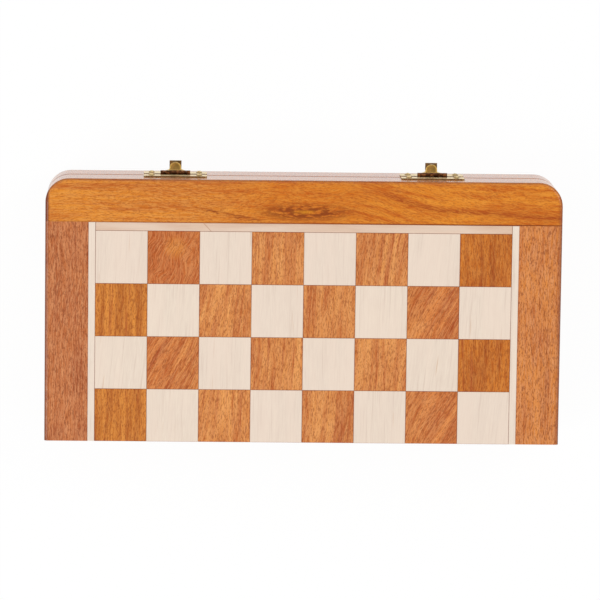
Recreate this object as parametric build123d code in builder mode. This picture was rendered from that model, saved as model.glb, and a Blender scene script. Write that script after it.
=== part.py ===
from build123d import *
import os

# A magnetic folding chess set: two shallow wooden trays joined by butt hinges.
# Closed, its two outside faces are the halves of the board and the men lie inside.
# The origin is the centre of the lower playing face. +X runs along the fold,
# +Y points to the latches and +Z points up. The upper half is the lower half
# mirrored in the seam, with light and dark squares changed over.

# Board, seen from a playing face
columns = 8
rows = 4
column_pitch = 30.7
row_pitch = 31.4
rail_width = 25.4
side_strip = 4.2
latch_strip = 5.0
glue_line = 0.08
corner_radius = 14.0

# Thickness of one half, from its playing face to the seam
half_height = 25.4
wall = 12.0
veneer = 1.6
steel = 0.4
panel = 3.0
seam_gap = 0.3
fold_gap = 0.3
face_round = 2.0
rim_round = 0.5

# Butt hinges on the fold
hinge_length = 36.0
hinge_sheet = 1.0
hinge_land = 3.0
hinge_barrel_radius = 1.9
hinge_pin_radius = 0.9
hinge_knuckles = 3
hinge_screw_spread = 22.0
hinge_screw_setback = 5.5
hinge_screw_head = 1.9
hinge_screw_shank = 0.9
hinge_screw_length = 9.0
knuckle_gap = 0.1
running_gap = 0.05
groove_gap = 0.35

# Latches on the front wall
latch_plate_width = 37.4
latch_plate_height = 11.4
latch_plate_rise = 1.2
latch_plate_corner = 1.5
latch_sheet = 0.8
latch_screw_spread = 28.2
latch_screw_rise = 7.6
latch_screw_head = 1.9
latch_screw_dome = 1.1
latch_screw_shank = 0.9
latch_screw_cover = 3.5
screw_slot = 0.5
latch_barrel_length = 17.6
latch_barrel_radius = 1.4
latch_pin_radius = 0.7
latch_pin_out = 1.6
latch_pin_rise = 1.8
flap_width = 12.4
flap_sheet = 0.7
flap_standoff = 0.4
flap_reach = 13.1
lip_width = 7.1
lip_reach = 7.6
lip_flick = 0.7
lip_bend = 2.4
tongue_width = 6.8
tongue_reach = 7.3
tongue_sheet = 0.8
tongue_radius = 9.0
slot_gap = 0.5

# Lined inserts that hold the men
insert_gap = 0.3
insert_drop = 6.2
pocket_floor = 1.0
pocket_gap = 0.3
pocket_end_gap = 0.6
insert_side_land = 7.0

# Chessmen: heights, and how much narrower each foot is than the king's
king_height = 57.0
queen_height = 52.0
bishop_height = 45.0
knight_height = 42.0
rook_height = 35.0
pawn_height = 30.0
queen_step = 0.5
officer_step = 1.3
pawn_step = 3.3
men_headroom = 0.75
felt = 0.8
felt_margin = 0.5
magnet_radius = 4.0
magnet_height = 3.0
mitre_slit = 0.9

# Places worked out from the sizes above
board_width = columns * column_pitch + 2 * (side_strip + rail_width)
board_depth = rows * row_pitch + latch_strip + rail_width
front = board_depth / 2
fold = -board_depth / 2
edge = board_width / 2
joint = front - rail_width
flange = veneer + steel
floor = flange + panel
rim = half_height - seam_gap / 2
tray_width = board_width - 2 * wall
tray_front = front - wall
tray_back = fold + wall
seam = Plane.XY.offset(half_height)
quarter = board_width / 4
hinge_leaf_width = wall - hinge_land
hinge_y = fold - fold_gap / 2
hinge_groove = hinge_barrel_radius + groove_gap
latch_y = front + latch_pin_out
latch_z = half_height + latch_pin_rise
latch_screw_length = wall - latch_screw_cover
insert_top = rim - insert_drop
pocket_pitch = (tray_width - 2 * insert_side_land) / columns
row_land = (tray_front - tray_back - king_height - pawn_height) / 3
king_foot = (rim - floor - pocket_floor - pocket_gap - men_headroom) / 2
queen_foot = king_foot - queen_step / 2
officer_foot = king_foot - officer_step / 2
pawn_foot = king_foot - pawn_step / 2

os.makedirs("parts", exist_ok=True)


def save(piece, name):
    """Label a finished piece and write it to its own STEP file."""
    piece.part.label = name
    export_step(piece.part, f"parts/{name}.step")


def save_upper(piece, name):
    """Write the upper half's copy of a piece, mirrored in the seam."""
    with BuildPart() as twin:
        mirror(piece.part, about=seam)
    save(twin, name)


# Screw places, seen on the rim of the hinge rail and on the front wall
hinge_screw_points = [
    (side * quarter + step * hinge_screw_spread / 2, fold + hinge_screw_setback)
    for side in (-1, 1)
    for step in (-1, 1)
]
latch_screw_points = [
    (side * quarter + step * latch_screw_spread / 2, half_height - latch_screw_rise)
    for side in (-1, 1)
    for step in (-1, 1)
]
wall_plane = Plane.XZ.offset(-front)
rim_plane = Plane.XY.offset(rim)


# The long rail at the latches, with its rounded corners and a stopped rebate
with BuildPart() as latch_rail:
    with BuildSketch(Plane.XY) as outline:
        with Locations((0, joint)):
            Rectangle(board_width, rail_width, align=(Align.CENTER, Align.MIN))
        fillet(outline.vertices().group_by(Axis.Y)[-1], corner_radius)
    extrude(amount=rim)
    shown = latch_rail.edges().filter_by(lambda e: e.center().Y > joint + rim_round)
    fillet(shown.group_by(Axis.Z)[0], face_round)
    shown = latch_rail.edges().filter_by(lambda e: e.center().Y > joint + rim_round)
    fillet(shown.group_by(Axis.Z)[-1], rim_round)
    with BuildSketch(Plane.XY.offset(flange)):
        with Locations((0, joint)):
            Rectangle(tray_width, rail_width - wall, align=(Align.CENTER, Align.MIN))
    extrude(amount=rim - flange, mode=Mode.SUBTRACT)
    with BuildSketch(wall_plane):
        with Locations(*latch_screw_points):
            Circle(latch_screw_shank)
    extrude(amount=latch_screw_length, mode=Mode.SUBTRACT)
save(latch_rail, "lower_latch_rail")
save_upper(latch_rail, "upper_latch_rail")


# The side rails butt against the latch rail and run to the fold
for side, name in ((-1, "left_rail"), (1, "right_rail")):
    with BuildPart() as side_rail:
        with BuildSketch(Plane.XY):
            with Locations((side * (edge - rail_width / 2), fold)):
                Rectangle(rail_width, joint - fold, align=(Align.CENTER, Align.MIN))
        extrude(amount=rim)
        outer = side_rail.edges().filter_by(Axis.Y).sort_by(Axis.X)
        outer = outer[:2] if side < 0 else outer[-2:]
        fillet(outer.sort_by(Axis.Z)[0], face_round)
        outer = side_rail.faces().filter_by(Plane.XY).sort_by(Axis.Z)[-1]
        outer = outer.edges().filter_by(Axis.Y).sort_by(Axis.X)
        fillet(outer[0] if side < 0 else outer[-1], rim_round)
        with BuildSketch(Plane.XY.offset(flange)):
            with Locations((side * (edge - (rail_width + wall) / 2), fold)):
                Rectangle(rail_width - wall, joint - fold, align=(Align.CENTER, Align.MIN))
        extrude(amount=rim - flange, mode=Mode.SUBTRACT)
    save(side_rail, f"lower_{name}")
    save_upper(side_rail, f"upper_{name}")


# The hinge rail closes the tray at the fold, under the base panel
with BuildPart() as hinge_rail:
    with BuildSketch(Plane.XY.offset(floor)):
        with Locations((0, fold)):
            Rectangle(tray_width, wall, align=(Align.CENTER, Align.MIN))
    extrude(amount=rim - floor)
    with BuildSketch(rim_plane):
        with Locations((-quarter, fold), (quarter, fold)):
            Rectangle(hinge_length, hinge_leaf_width, align=(Align.CENTER, Align.MIN))
    extrude(amount=-hinge_sheet, mode=Mode.SUBTRACT)
    for hinge_x in (-quarter, quarter):
        with BuildSketch(Plane.YZ.offset(hinge_x)):
            with Locations((hinge_y, half_height)):
                Circle(hinge_groove)
        extrude(amount=hinge_length / 2 + groove_gap, both=True, mode=Mode.SUBTRACT)
    with BuildSketch(rim_plane):
        with Locations(*hinge_screw_points):
            Circle(hinge_screw_shank)
    extrude(amount=-hinge_screw_length, mode=Mode.SUBTRACT)
save(hinge_rail, "lower_hinge_rail")
save_upper(hinge_rail, "upper_hinge_rail")


# The plywood base panel, and the steel sheet that the magnets hold to
with BuildPart() as base_panel:
    with BuildSketch(Plane.XY.offset(flange)):
        with Locations((0, fold)):
            Rectangle(tray_width, tray_front - fold, align=(Align.CENTER, Align.MIN))
    extrude(amount=panel)
save(base_panel, "lower_base_panel")
save_upper(base_panel, "upper_base_panel")

with BuildPart() as steel_sheet:
    with BuildSketch(Plane.XY.offset(veneer)):
        with Locations((0, fold)):
            Rectangle(board_width - 2 * rail_width, joint - fold, align=(Align.CENTER, Align.MIN))
    extrude(amount=steel)
save(steel_sheet, "lower_steel_sheet")
save_upper(steel_sheet, "upper_steel_sheet")


# Pale strips on three sides of the squares: two long ones, and one between them
with BuildPart() as border_strips:
    with BuildSketch(Plane.XY):
        for side in (-1, 1):
            with Locations((side * (edge - rail_width - side_strip / 2), (fold + joint) / 2)):
                Rectangle(side_strip - glue_line, joint - fold - glue_line)
        with Locations((0, joint - latch_strip / 2)):
            Rectangle(columns * column_pitch - glue_line, latch_strip - glue_line)
    extrude(amount=veneer)
save(border_strips, "lower_border_strips")
save_upper(border_strips, "upper_border_strips")


def squares(parity):
    """Every second square of a half, counted from the left and from the latches."""
    first_x = -(columns - 1) / 2 * column_pitch
    first_y = joint - latch_strip - row_pitch / 2
    with BuildPart() as tiles:
        with BuildSketch(Plane.XY):
            for column in range(columns):
                for row in range(rows):
                    if (column + row) % 2 == parity:
                        with Locations((first_x + column * column_pitch, first_y - row * row_pitch)):
                            Rectangle(column_pitch - glue_line, row_pitch - glue_line)
        extrude(amount=veneer)
    return tiles


first_squares = squares(0)
second_squares = squares(1)
save(first_squares, "lower_dark_squares")
save(second_squares, "lower_light_squares")
save_upper(first_squares, "upper_light_squares")
save_upper(second_squares, "upper_dark_squares")


# Butt hinges: a leaf is a plate let into the rim, with its share of the knuckles
def hinge_leaf(hinge_x, first_knuckle, bore):
    """A leaf lying in the lower rim, with every second knuckle from the first."""
    pitch = hinge_length / hinge_knuckles
    with BuildPart() as leaf:
        with BuildSketch(rim_plane):
            with Locations((hinge_x, hinge_y)):
                Rectangle(
                    hinge_length,
                    hinge_leaf_width + fold_gap / 2,
                    align=(Align.CENTER, Align.MIN),
                )
        extrude(amount=-hinge_sheet)
        for index in range(hinge_knuckles):
            middle = hinge_x + (index - (hinge_knuckles - 1) / 2) * pitch
            if index % 2 == first_knuckle:
                with BuildSketch(Plane.YZ.offset(middle)):
                    with Locations((hinge_y, half_height)):
                        Circle(hinge_barrel_radius)
                extrude(amount=pitch / 2 - knuckle_gap, both=True)
            else:
                with BuildSketch(Plane.YZ.offset(middle)):
                    with Locations((hinge_y, half_height)):
                        Circle(hinge_groove)
                extrude(amount=pitch / 2 + knuckle_gap, both=True, mode=Mode.SUBTRACT)
        with BuildSketch(Plane.YZ.offset(hinge_x)):
            with Locations((hinge_y, half_height)):
                Circle(bore)
        extrude(amount=hinge_length, both=True, mode=Mode.SUBTRACT)
        near = [point for point in hinge_screw_points if point[0] * hinge_x > 0]
        with Locations(*[(x, y, rim - hinge_sheet) for x, y in near]):
            Cone(
                hinge_screw_shank,
                hinge_screw_head,
                hinge_sheet,
                align=(Align.CENTER, Align.CENTER, Align.MIN),
                mode=Mode.SUBTRACT,
            )
    return leaf


for side, name in ((-1, "left"), (1, "right")):
    lower_leaf = hinge_leaf(side * quarter, 0, hinge_pin_radius)
    save(lower_leaf, f"{name}_hinge_lower_leaf")
    upper_leaf = hinge_leaf(side * quarter, 1, hinge_pin_radius + running_gap)
    save_upper(upper_leaf, f"{name}_hinge_upper_leaf")
    with BuildPart() as hinge_pin:
        with BuildSketch(Plane.YZ.offset(side * quarter)):
            with Locations((hinge_y, half_height)):
                Circle(hinge_pin_radius)
        extrude(amount=hinge_length / 2 - knuckle_gap, both=True)
    save(hinge_pin, f"{name}_hinge_pin")

with BuildPart() as hinge_screws:
    with Locations(*[(x, y, rim - hinge_sheet) for x, y in hinge_screw_points]):
        Cone(
            hinge_screw_shank,
            hinge_screw_head,
            hinge_sheet,
            align=(Align.CENTER, Align.CENTER, Align.MIN),
        )
    with BuildSketch(rim_plane):
        with Locations(*hinge_screw_points):
            Circle(hinge_screw_shank)
    extrude(amount=-hinge_screw_length)
    with BuildSketch(rim_plane):
        with Locations(*hinge_screw_points):
            Rectangle(3 * hinge_screw_head, screw_slot)
    extrude(amount=-screw_slot, mode=Mode.SUBTRACT)
save(hinge_screws, "lower_hinge_screws")
save_upper(hinge_screws, "upper_hinge_screws")


# Latches: a hasp plate with a hanging flap above the seam, and below it a catch
# plate whose bent tongue passes through the slot of the flap
def hasp_plate(latch_x):
    """The plate that carries the flap, with a rolled knuckle at each side."""
    screws = [(x, 2 * half_height - z) for x, z in latch_screw_points if x * latch_x > 0]
    notch = latch_pin_rise + latch_barrel_radius + slot_gap
    with BuildPart() as plate:
        with BuildSketch(wall_plane):
            with Locations((latch_x, half_height + latch_plate_rise)):
                RectangleRounded(
                    latch_plate_width,
                    latch_plate_height,
                    latch_plate_corner,
                    align=(Align.CENTER, Align.MIN),
                )
            with Locations((latch_x, half_height)):
                Rectangle(
                    flap_width + 2 * knuckle_gap,
                    notch,
                    align=(Align.CENTER, Align.MIN),
                    mode=Mode.SUBTRACT,
                )
            with Locations(*screws):
                Circle(latch_screw_shank, mode=Mode.SUBTRACT)
        extrude(amount=-latch_sheet)
        for side in (-1, 1):
            with BuildSketch(Plane.YZ.offset(latch_x + side * (flap_width / 2 + knuckle_gap))):
                with Locations((latch_y, latch_z)):
                    Circle(latch_barrel_radius)
            extrude(amount=side * ((latch_barrel_length - flap_width) / 2 - knuckle_gap))
        with BuildSketch(Plane.YZ.offset(latch_x)):
            with Locations((latch_y, latch_z)):
                Circle(latch_pin_radius)
        extrude(amount=latch_barrel_length / 2, both=True, mode=Mode.SUBTRACT)
    return plate


def catch_tongue(latch_x):
    """The tongue, an arc about the flap's pin with a rounded tip."""
    tip_radius = tongue_width / 2
    with BuildPart() as tongue:
        with BuildSketch(Plane.YZ.offset(latch_x)):
            with Locations((latch_y, latch_z)):
                Circle(tongue_radius + tongue_sheet / 2)
                Circle(tongue_radius - tongue_sheet / 2, mode=Mode.SUBTRACT)
            with Locations((front, latch_z)):
                Rectangle(
                    tongue_reach,
                    2 * tongue_radius,
                    align=(Align.MIN, Align.MAX),
                    mode=Mode.INTERSECT,
                )
        extrude(amount=tip_radius, both=True)
        with BuildSketch(Plane.XY.offset(latch_z)):
            with Locations((latch_x, front)):
                Rectangle(tongue_width, tongue_reach - tip_radius, align=(Align.CENTER, Align.MIN))
            with Locations((latch_x, front + tongue_reach - tip_radius)):
                Circle(tip_radius)
        extrude(amount=-2 * tongue_radius, mode=Mode.INTERSECT)
    return tongue


def catch_plate(latch_x):
    """The plate below the seam, notched where its tongue was bent out."""
    screws = [point for point in latch_screw_points if point[0] * latch_x > 0]
    tongue_root = latch_z - (tongue_radius**2 - latch_pin_out**2) ** 0.5
    with BuildPart() as plate:
        with BuildSketch(wall_plane):
            with Locations((latch_x, half_height - latch_plate_rise)):
                RectangleRounded(
                    latch_plate_width,
                    latch_plate_height,
                    latch_plate_corner,
                    align=(Align.CENTER, Align.MAX),
                )
            with Locations((latch_x, tongue_root)):
                Rectangle(
                    tongue_width,
                    half_height - tongue_root,
                    align=(Align.CENTER, Align.MIN),
                    mode=Mode.SUBTRACT,
                )
            with Locations(*screws):
                Circle(latch_screw_shank, mode=Mode.SUBTRACT)
        extrude(amount=-latch_sheet)
        add(catch_tongue(latch_x).part)
    return plate


def latch_flap(latch_x):
    """The flap: a knuckle, a hanging sheet with a slot, and a lip curled outwards."""
    hang_y = front + latch_sheet + flap_standoff + flap_sheet / 2
    lip_z = latch_z - flap_reach
    slot_low = tongue_radius + tongue_sheet / 2 + slot_gap
    slot_high = tongue_radius - tongue_sheet / 2 - slot_gap
    shoulder_z = latch_z - slot_low - flap_sheet
    neck_z = lip_z + lip_flick + flap_sheet / 2
    with BuildPart() as sheet:
        with BuildSketch(Plane.YZ.offset(latch_x)):
            with BuildLine():
                FilletPolyline(
                    (latch_y + latch_barrel_radius - flap_sheet / 2, latch_z),
                    (hang_y, latch_z - flap_reach / 2),
                    (hang_y, lip_z),
                    (front + lip_reach, lip_z + lip_flick),
                    radius=lip_bend,
                )
            trace(line_width=flap_sheet)
        extrude(amount=flap_width / 2, both=True)
        with BuildSketch(wall_plane):
            with BuildLine():
                Polyline(
                    (latch_x - flap_width / 2, latch_z),
                    (latch_x + flap_width / 2, latch_z),
                    (latch_x + flap_width / 2, shoulder_z),
                    (latch_x + lip_width / 2, neck_z),
                    (latch_x + lip_width / 2, lip_z - lip_bend),
                    (latch_x - lip_width / 2, lip_z - lip_bend),
                    (latch_x - lip_width / 2, neck_z),
                    (latch_x - flap_width / 2, shoulder_z),
                    close=True,
                )
            make_face()
        extrude(amount=-2 * lip_reach, mode=Mode.INTERSECT)
        with BuildSketch(Plane.YZ.offset(latch_x)):
            with Locations((latch_y, latch_z)):
                Circle(latch_barrel_radius)
        extrude(amount=flap_width / 2, both=True)
        with BuildSketch(Plane.YZ.offset(latch_x)):
            with Locations((latch_y, latch_z)):
                Circle(latch_pin_radius + running_gap)
        extrude(amount=flap_width, both=True, mode=Mode.SUBTRACT)
        with BuildSketch(Plane.YZ.offset(latch_x)):
            with Locations((latch_y, latch_z)):
                Circle(slot_low)
                Circle(slot_high, mode=Mode.SUBTRACT)
        extrude(amount=tongue_width / 2 + slot_gap, both=True, mode=Mode.SUBTRACT)
    return sheet


for side, name in ((-1, "left"), (1, "right")):
    save(hasp_plate(side * quarter), f"{name}_hasp_plate")
    save(catch_plate(side * quarter), f"{name}_catch_plate")
    save(latch_flap(side * quarter), f"{name}_latch_flap")
    with BuildPart() as latch_pin:
        with BuildSketch(Plane.YZ.offset(side * quarter)):
            with Locations((latch_y, latch_z)):
                Circle(latch_pin_radius)
        extrude(amount=latch_barrel_length / 2, both=True)
    save(latch_pin, f"{name}_latch_pin")

# One domed screw that stands on a latch plate, with its shank in the wall
dome_radius = (latch_screw_head**2 + latch_screw_dome**2) / (2 * latch_screw_dome)
with BuildPart() as domed_screw:
    with Locations((0, 0, latch_sheet + latch_screw_dome - dome_radius)):
        Sphere(dome_radius)
    split(bisect_by=Plane.XY.offset(latch_sheet), keep=Keep.TOP)
    with BuildSketch(Plane.XY.offset(latch_sheet + latch_screw_dome)):
        Rectangle(3 * latch_screw_head, screw_slot)
    extrude(amount=-screw_slot, mode=Mode.SUBTRACT)
    with BuildSketch(Plane.XY.offset(latch_sheet)):
        Circle(latch_screw_shank)
    extrude(amount=-latch_sheet - latch_screw_length)

with BuildPart() as latch_screws:
    with Locations(*[Location((x, front, z), (-90, 0, 0)) for x, z in latch_screw_points]):
        add(domed_screw.part)
save(latch_screws, "lower_latch_screws")
save_upper(latch_screws, "upper_latch_screws")


# Chessmen, each made upright on its felt and then laid in its pocket
def turned(foot, height, neck, neck_height, head):
    """A turned man: foot, bead, sweep and neck, with its own head and a magnet hole."""
    with BuildPart() as man:
        with BuildSketch(Plane.XZ):
            with BuildLine():
                Polyline((0, felt), (foot, felt), (foot, felt + 0.2 * foot))
                ThreePointArc(
                    (foot, felt + 0.2 * foot),
                    (0.97 * foot, felt + 0.4 * foot),
                    (0.86 * foot, felt + 0.46 * foot),
                )
                Polyline(
                    (0.86 * foot, felt + 0.46 * foot),
                    (0.8 * foot, felt + 0.46 * foot),
                    (0.8 * foot, felt + 0.58 * foot),
                )
                Bezier(
                    (0.8 * foot, felt + 0.58 * foot),
                    (0.5 * foot, felt + 0.72 * foot),
                    (neck, neck_height - 0.9 * foot),
                    (neck, neck_height),
                )
                top = head(foot, height, neck, neck_height)
                Line((0, top), (0, felt))
            make_face()
        revolve(axis=Axis.Z)
        with BuildSketch(Plane.XY.offset(felt)):
            Circle(magnet_radius)
        extrude(amount=magnet_height, mode=Mode.SUBTRACT)
    return man


def collar(foot, neck, low, wide):
    """Two stepped rings round the neck; gives the height where the head begins."""
    ring = 0.12 * foot
    Line((neck, low), (wide - ring, low + ring))
    ThreePointArc((wide - ring, low + ring), (wide, low + 1.5 * ring), (wide - ring, low + 2 * ring))
    Polyline(
        (wide - ring, low + 2 * ring),
        (neck + ring, low + 2.2 * ring),
        (neck + ring, low + 3.2 * ring),
        (neck, low + 3.4 * ring),
    )
    return low + 3.4 * ring


def ball(reach, radius, height):
    """A ball that ends the outline at the axis, begun at the given reach from it."""
    centre = height - radius
    begin = centre - (radius**2 - reach**2) ** 0.5
    ThreePointArc((reach, begin), (radius, centre), (0, height))
    return begin


def pawn_head(foot, height, neck, low):
    begin = collar(foot, neck, low, 0.7 * foot)
    Line((neck, begin), (neck, ball(neck, 0.62 * foot, height)))
    return height


def bishop_head(foot, height, neck, low):
    begin = collar(foot, neck, low, 0.64 * foot)
    tip = ball(0.1 * foot, 0.17 * foot, height)
    Bezier(
        (neck, begin),
        (0.78 * foot, begin + 0.2 * foot),
        (0.58 * foot, begin + 0.75 * (tip - begin)),
        (0.1 * foot, tip),
    )
    return height


def queen_head(foot, height, neck, low):
    begin = collar(foot, neck, low, 0.66 * foot)
    tip = ball(0.1 * foot, 0.17 * foot, height)
    brim = tip - 0.4 * foot
    Bezier((neck, begin), (neck, brim - 0.7 * foot), (0.45 * foot, brim - 0.3 * foot), (0.66 * foot, brim))
    Polyline((0.66 * foot, brim), (0.6 * foot, brim + 0.16 * foot), (0.46 * foot, brim + 0.06 * foot))
    Bezier(
        (0.46 * foot, brim + 0.06 * foot),
        (0.42 * foot, tip - 0.08 * foot),
        (0.12 * foot, tip - 0.08 * foot),
        (0.1 * foot, tip),
    )
    return height


def king_head(foot, height, neck, low):
    begin = collar(foot, neck, low, 0.68 * foot)
    top = height - 0.72 * foot
    brim = top - 0.5 * foot
    Bezier((neck, begin), (neck, brim - 0.8 * foot), (0.5 * foot, brim - 0.4 * foot), (0.62 * foot, brim))
    Polyline((0.62 * foot, brim), (0.62 * foot, brim + 0.1 * foot), (0.52 * foot, brim + 0.14 * foot))
    Bezier(
        (0.52 * foot, brim + 0.14 * foot),
        (0.44 * foot, brim + 0.4 * foot),
        (0.16 * foot, brim + 0.42 * foot),
        (0.13 * foot, top),
    )
    Line((0.13 * foot, top), (0, top))
    return top


def rook_head(foot, height, neck, low):
    begin = collar(foot, neck, low, 0.8 * foot)
    drum = height - 0.85 * foot
    Bezier((neck, begin), (neck, drum - 0.2 * foot), (0.7 * foot, drum - 0.1 * foot), (0.74 * foot, drum))
    Polyline(
        (0.74 * foot, drum),
        (0.74 * foot, height),
        (0.52 * foot, height),
        (0.52 * foot, height - 0.3 * foot),
        (0, height - 0.3 * foot),
    )
    return height - 0.3 * foot


def knight_base(foot, height, neck, low):
    Polyline((neck, low), (neck + 0.08 * foot, low), (neck + 0.08 * foot, low + 0.16 * foot))
    Line((neck + 0.08 * foot, low + 0.16 * foot), (0, low + 0.16 * foot))
    return low + 0.16 * foot


with BuildPart() as pawn:
    add(turned(pawn_foot, pawn_height, 0.36 * pawn_foot, 0.58 * pawn_height, pawn_head).part)

with BuildPart() as bishop:
    add(turned(officer_foot, bishop_height, 0.34 * officer_foot, 0.58 * bishop_height, bishop_head).part)
    slit = Plane(
        origin=(0.42 * officer_foot, 0, 0.86 * bishop_height),
        z_dir=(-0.55, 0, 1),
    )
    with BuildSketch(slit):
        Rectangle(0.8 * officer_foot, 2 * officer_foot)
    extrude(amount=mitre_slit / 2, both=True, mode=Mode.SUBTRACT)

with BuildPart() as queen:
    add(turned(queen_foot, queen_height, 0.34 * queen_foot, 0.58 * queen_height, queen_head).part)

with BuildPart() as king:
    add(turned(king_foot, king_height, 0.34 * king_foot, 0.56 * king_height, king_head).part)
    with BuildSketch(Plane.XZ):
        with Locations((0, king_height)):
            Rectangle(0.2 * king_foot, 0.8 * king_foot, align=(Align.CENTER, Align.MAX))
        with Locations((0, king_height - 0.32 * king_foot)):
            Rectangle(0.56 * king_foot, 0.2 * king_foot)
    extrude(amount=0.1 * king_foot, both=True)

with BuildPart() as rook:
    add(turned(officer_foot, rook_height, 0.5 * officer_foot, 0.52 * rook_height, rook_head).part)
    with BuildSketch(Plane.XY.offset(rook_height)):
        for turn in (0, 60, 120):
            Rectangle(3 * officer_foot, 0.24 * officer_foot, rotation=turn)
    extrude(amount=-0.3 * officer_foot, mode=Mode.SUBTRACT)

neck_low = 0.26 * knight_height + 0.16 * officer_foot
horse_rise = knight_height - neck_low


def on_horse(reach, rise):
    """A point of the horse's outline, from shares of its foot and of its rise."""
    return (reach * officer_foot, neck_low + rise * horse_rise)


# The carved head, cut from its side view and then from its front view
with BuildPart() as horse:
    with BuildSketch(Plane.XZ):
        with BuildLine():
            Spline(on_horse(0.5, 0), on_horse(0.42, 0.24), on_horse(0.3, 0.42))
            Spline(on_horse(0.3, 0.42), on_horse(0.5, 0.45), on_horse(0.72, 0.4))
            ThreePointArc(on_horse(0.72, 0.4), on_horse(0.9, 0.47), on_horse(0.82, 0.6))
            Spline(on_horse(0.82, 0.6), on_horse(0.55, 0.76), on_horse(0.24, 0.88))
            Polyline(on_horse(0.24, 0.88), on_horse(0.14, 1), on_horse(-0.06, 0.9))
            Spline(
                on_horse(-0.06, 0.9), on_horse(-0.48, 0.74), on_horse(-0.7, 0.4), on_horse(-0.58, 0)
            )
            Line(on_horse(-0.58, 0), on_horse(0.5, 0))
        make_face()
    extrude(amount=0.5 * officer_foot, both=True)
    with BuildSketch(Plane.YZ):
        with BuildLine():
            flank = Spline(on_horse(0.46, 0), on_horse(0.4, 0.4), on_horse(0.34, 0.7), on_horse(0.2, 1))
            Line(on_horse(0.2, 1), on_horse(-0.2, 1))
            mirror(flank, about=Plane.YZ)
            Line(on_horse(-0.46, 0), on_horse(0.46, 0))
        make_face()
    extrude(amount=officer_foot, both=True, mode=Mode.INTERSECT)

with BuildPart() as knight:
    add(turned(officer_foot, knight_height, 0.62 * officer_foot, 0.26 * knight_height, knight_base).part)
    add(horse.part)


# Where each man lies: officers with their feet to the fold, pawns to the latches
sizes = {
    "rook": (rook, officer_foot, rook_height),
    "knight": (knight, officer_foot, knight_height),
    "bishop": (bishop, officer_foot, bishop_height),
    "queen": (queen, queen_foot, queen_height),
    "king": (king, king_foot, king_height),
    "pawn": (pawn, pawn_foot, pawn_height),
}
back_rank = ("rook", "knight", "bishop", "queen", "king", "bishop", "knight", "rook")


def lying(kind, column):
    """The place of a man's foot in the lower tray, with the man lying on its side."""
    foot = sizes[kind][1]
    x = (column - (columns - 1) / 2) * pocket_pitch
    z = floor + pocket_floor + pocket_gap + foot
    if kind == "pawn":
        return Location((x, tray_front - row_land, z), (90, 0, 0))
    return Location((x, tray_back + row_land, z), (-90, 0, 0))


laid = [(kind, column) for column, kind in enumerate(back_rank)]
laid += [("pawn", column) for column in range(columns)]


# The insert, with a round-bottomed pocket for each man
with BuildPart() as tray_insert:
    with BuildSketch(Plane.XY.offset(floor)):
        with Locations((0, tray_back + insert_gap)):
            Rectangle(
                tray_width - 2 * insert_gap,
                tray_front - tray_back - 2 * insert_gap,
                align=(Align.CENTER, Align.MIN),
            )
    extrude(amount=insert_top - floor)
    for kind, column in laid:
        foot_radius, length = sizes[kind][1:]
        place = lying(kind, column).position
        heads = -1 if kind == "pawn" else 1
        with BuildSketch(Plane.XZ.offset(heads * pocket_end_gap - place.Y)):
            with Locations((place.X, place.Z)):
                Circle(foot_radius + pocket_gap)
                Rectangle(
                    2 * (foot_radius + pocket_gap),
                    insert_top,
                    align=(Align.CENTER, Align.MIN),
                )
        extrude(amount=-heads * (length + 2 * pocket_end_gap), mode=Mode.SUBTRACT)
save(tray_insert, "lower_tray_insert")
save_upper(tray_insert, "upper_tray_insert")


# The men of each colour: dark ones in the lower tray, light ones in the upper
seen = []
for kind, column in laid[:columns]:
    seen.append(kind)
    number = f"_{seen.count(kind)}" if back_rank.count(kind) > 1 else ""
    with BuildPart() as man:
        with Locations(lying(kind, column)):
            add(sizes[kind][0].part)
    save(man, f"dark_{kind}{number}")
    save_upper(man, f"light_{kind}{number}")

with BuildPart() as pawns:
    with Locations(*[lying("pawn", column) for column in range(columns)]):
        add(pawn.part)
save(pawns, "dark_pawns")
save_upper(pawns, "light_pawns")

with BuildPart() as magnet:
    with BuildSketch(Plane.XY.offset(felt)):
        Circle(magnet_radius)
    extrude(amount=magnet_height)

with BuildPart() as magnets:
    with Locations(*[lying(kind, column) for kind, column in laid]):
        add(magnet.part)
save(magnets, "dark_magnets")
save_upper(magnets, "light_magnets")

with BuildPart() as felts:
    for kind, column in laid:
        place = lying(kind, column).position
        heads = -1 if kind == "pawn" else 1
        with BuildSketch(Plane.XZ.offset(-place.Y)):
            with Locations((place.X, place.Z)):
                Circle(sizes[kind][1] - felt_margin)
        extrude(amount=-heads * felt)
save(felts, "dark_felts")
save_upper(felts, "light_felts")
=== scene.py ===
# %% [markdown]
# A magnetic folding chess set, dressed over its CAD frame.
# The frame holds every piece at its real size, so this file adds finishes, the lined
# inserts and the carved knights, and moves nothing. Lengths are in metres.

# %% Load the frame
import math
from functools import reduce

import bmesh
import bpy
import numpy as np
from mathutils import Matrix, Vector


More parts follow.
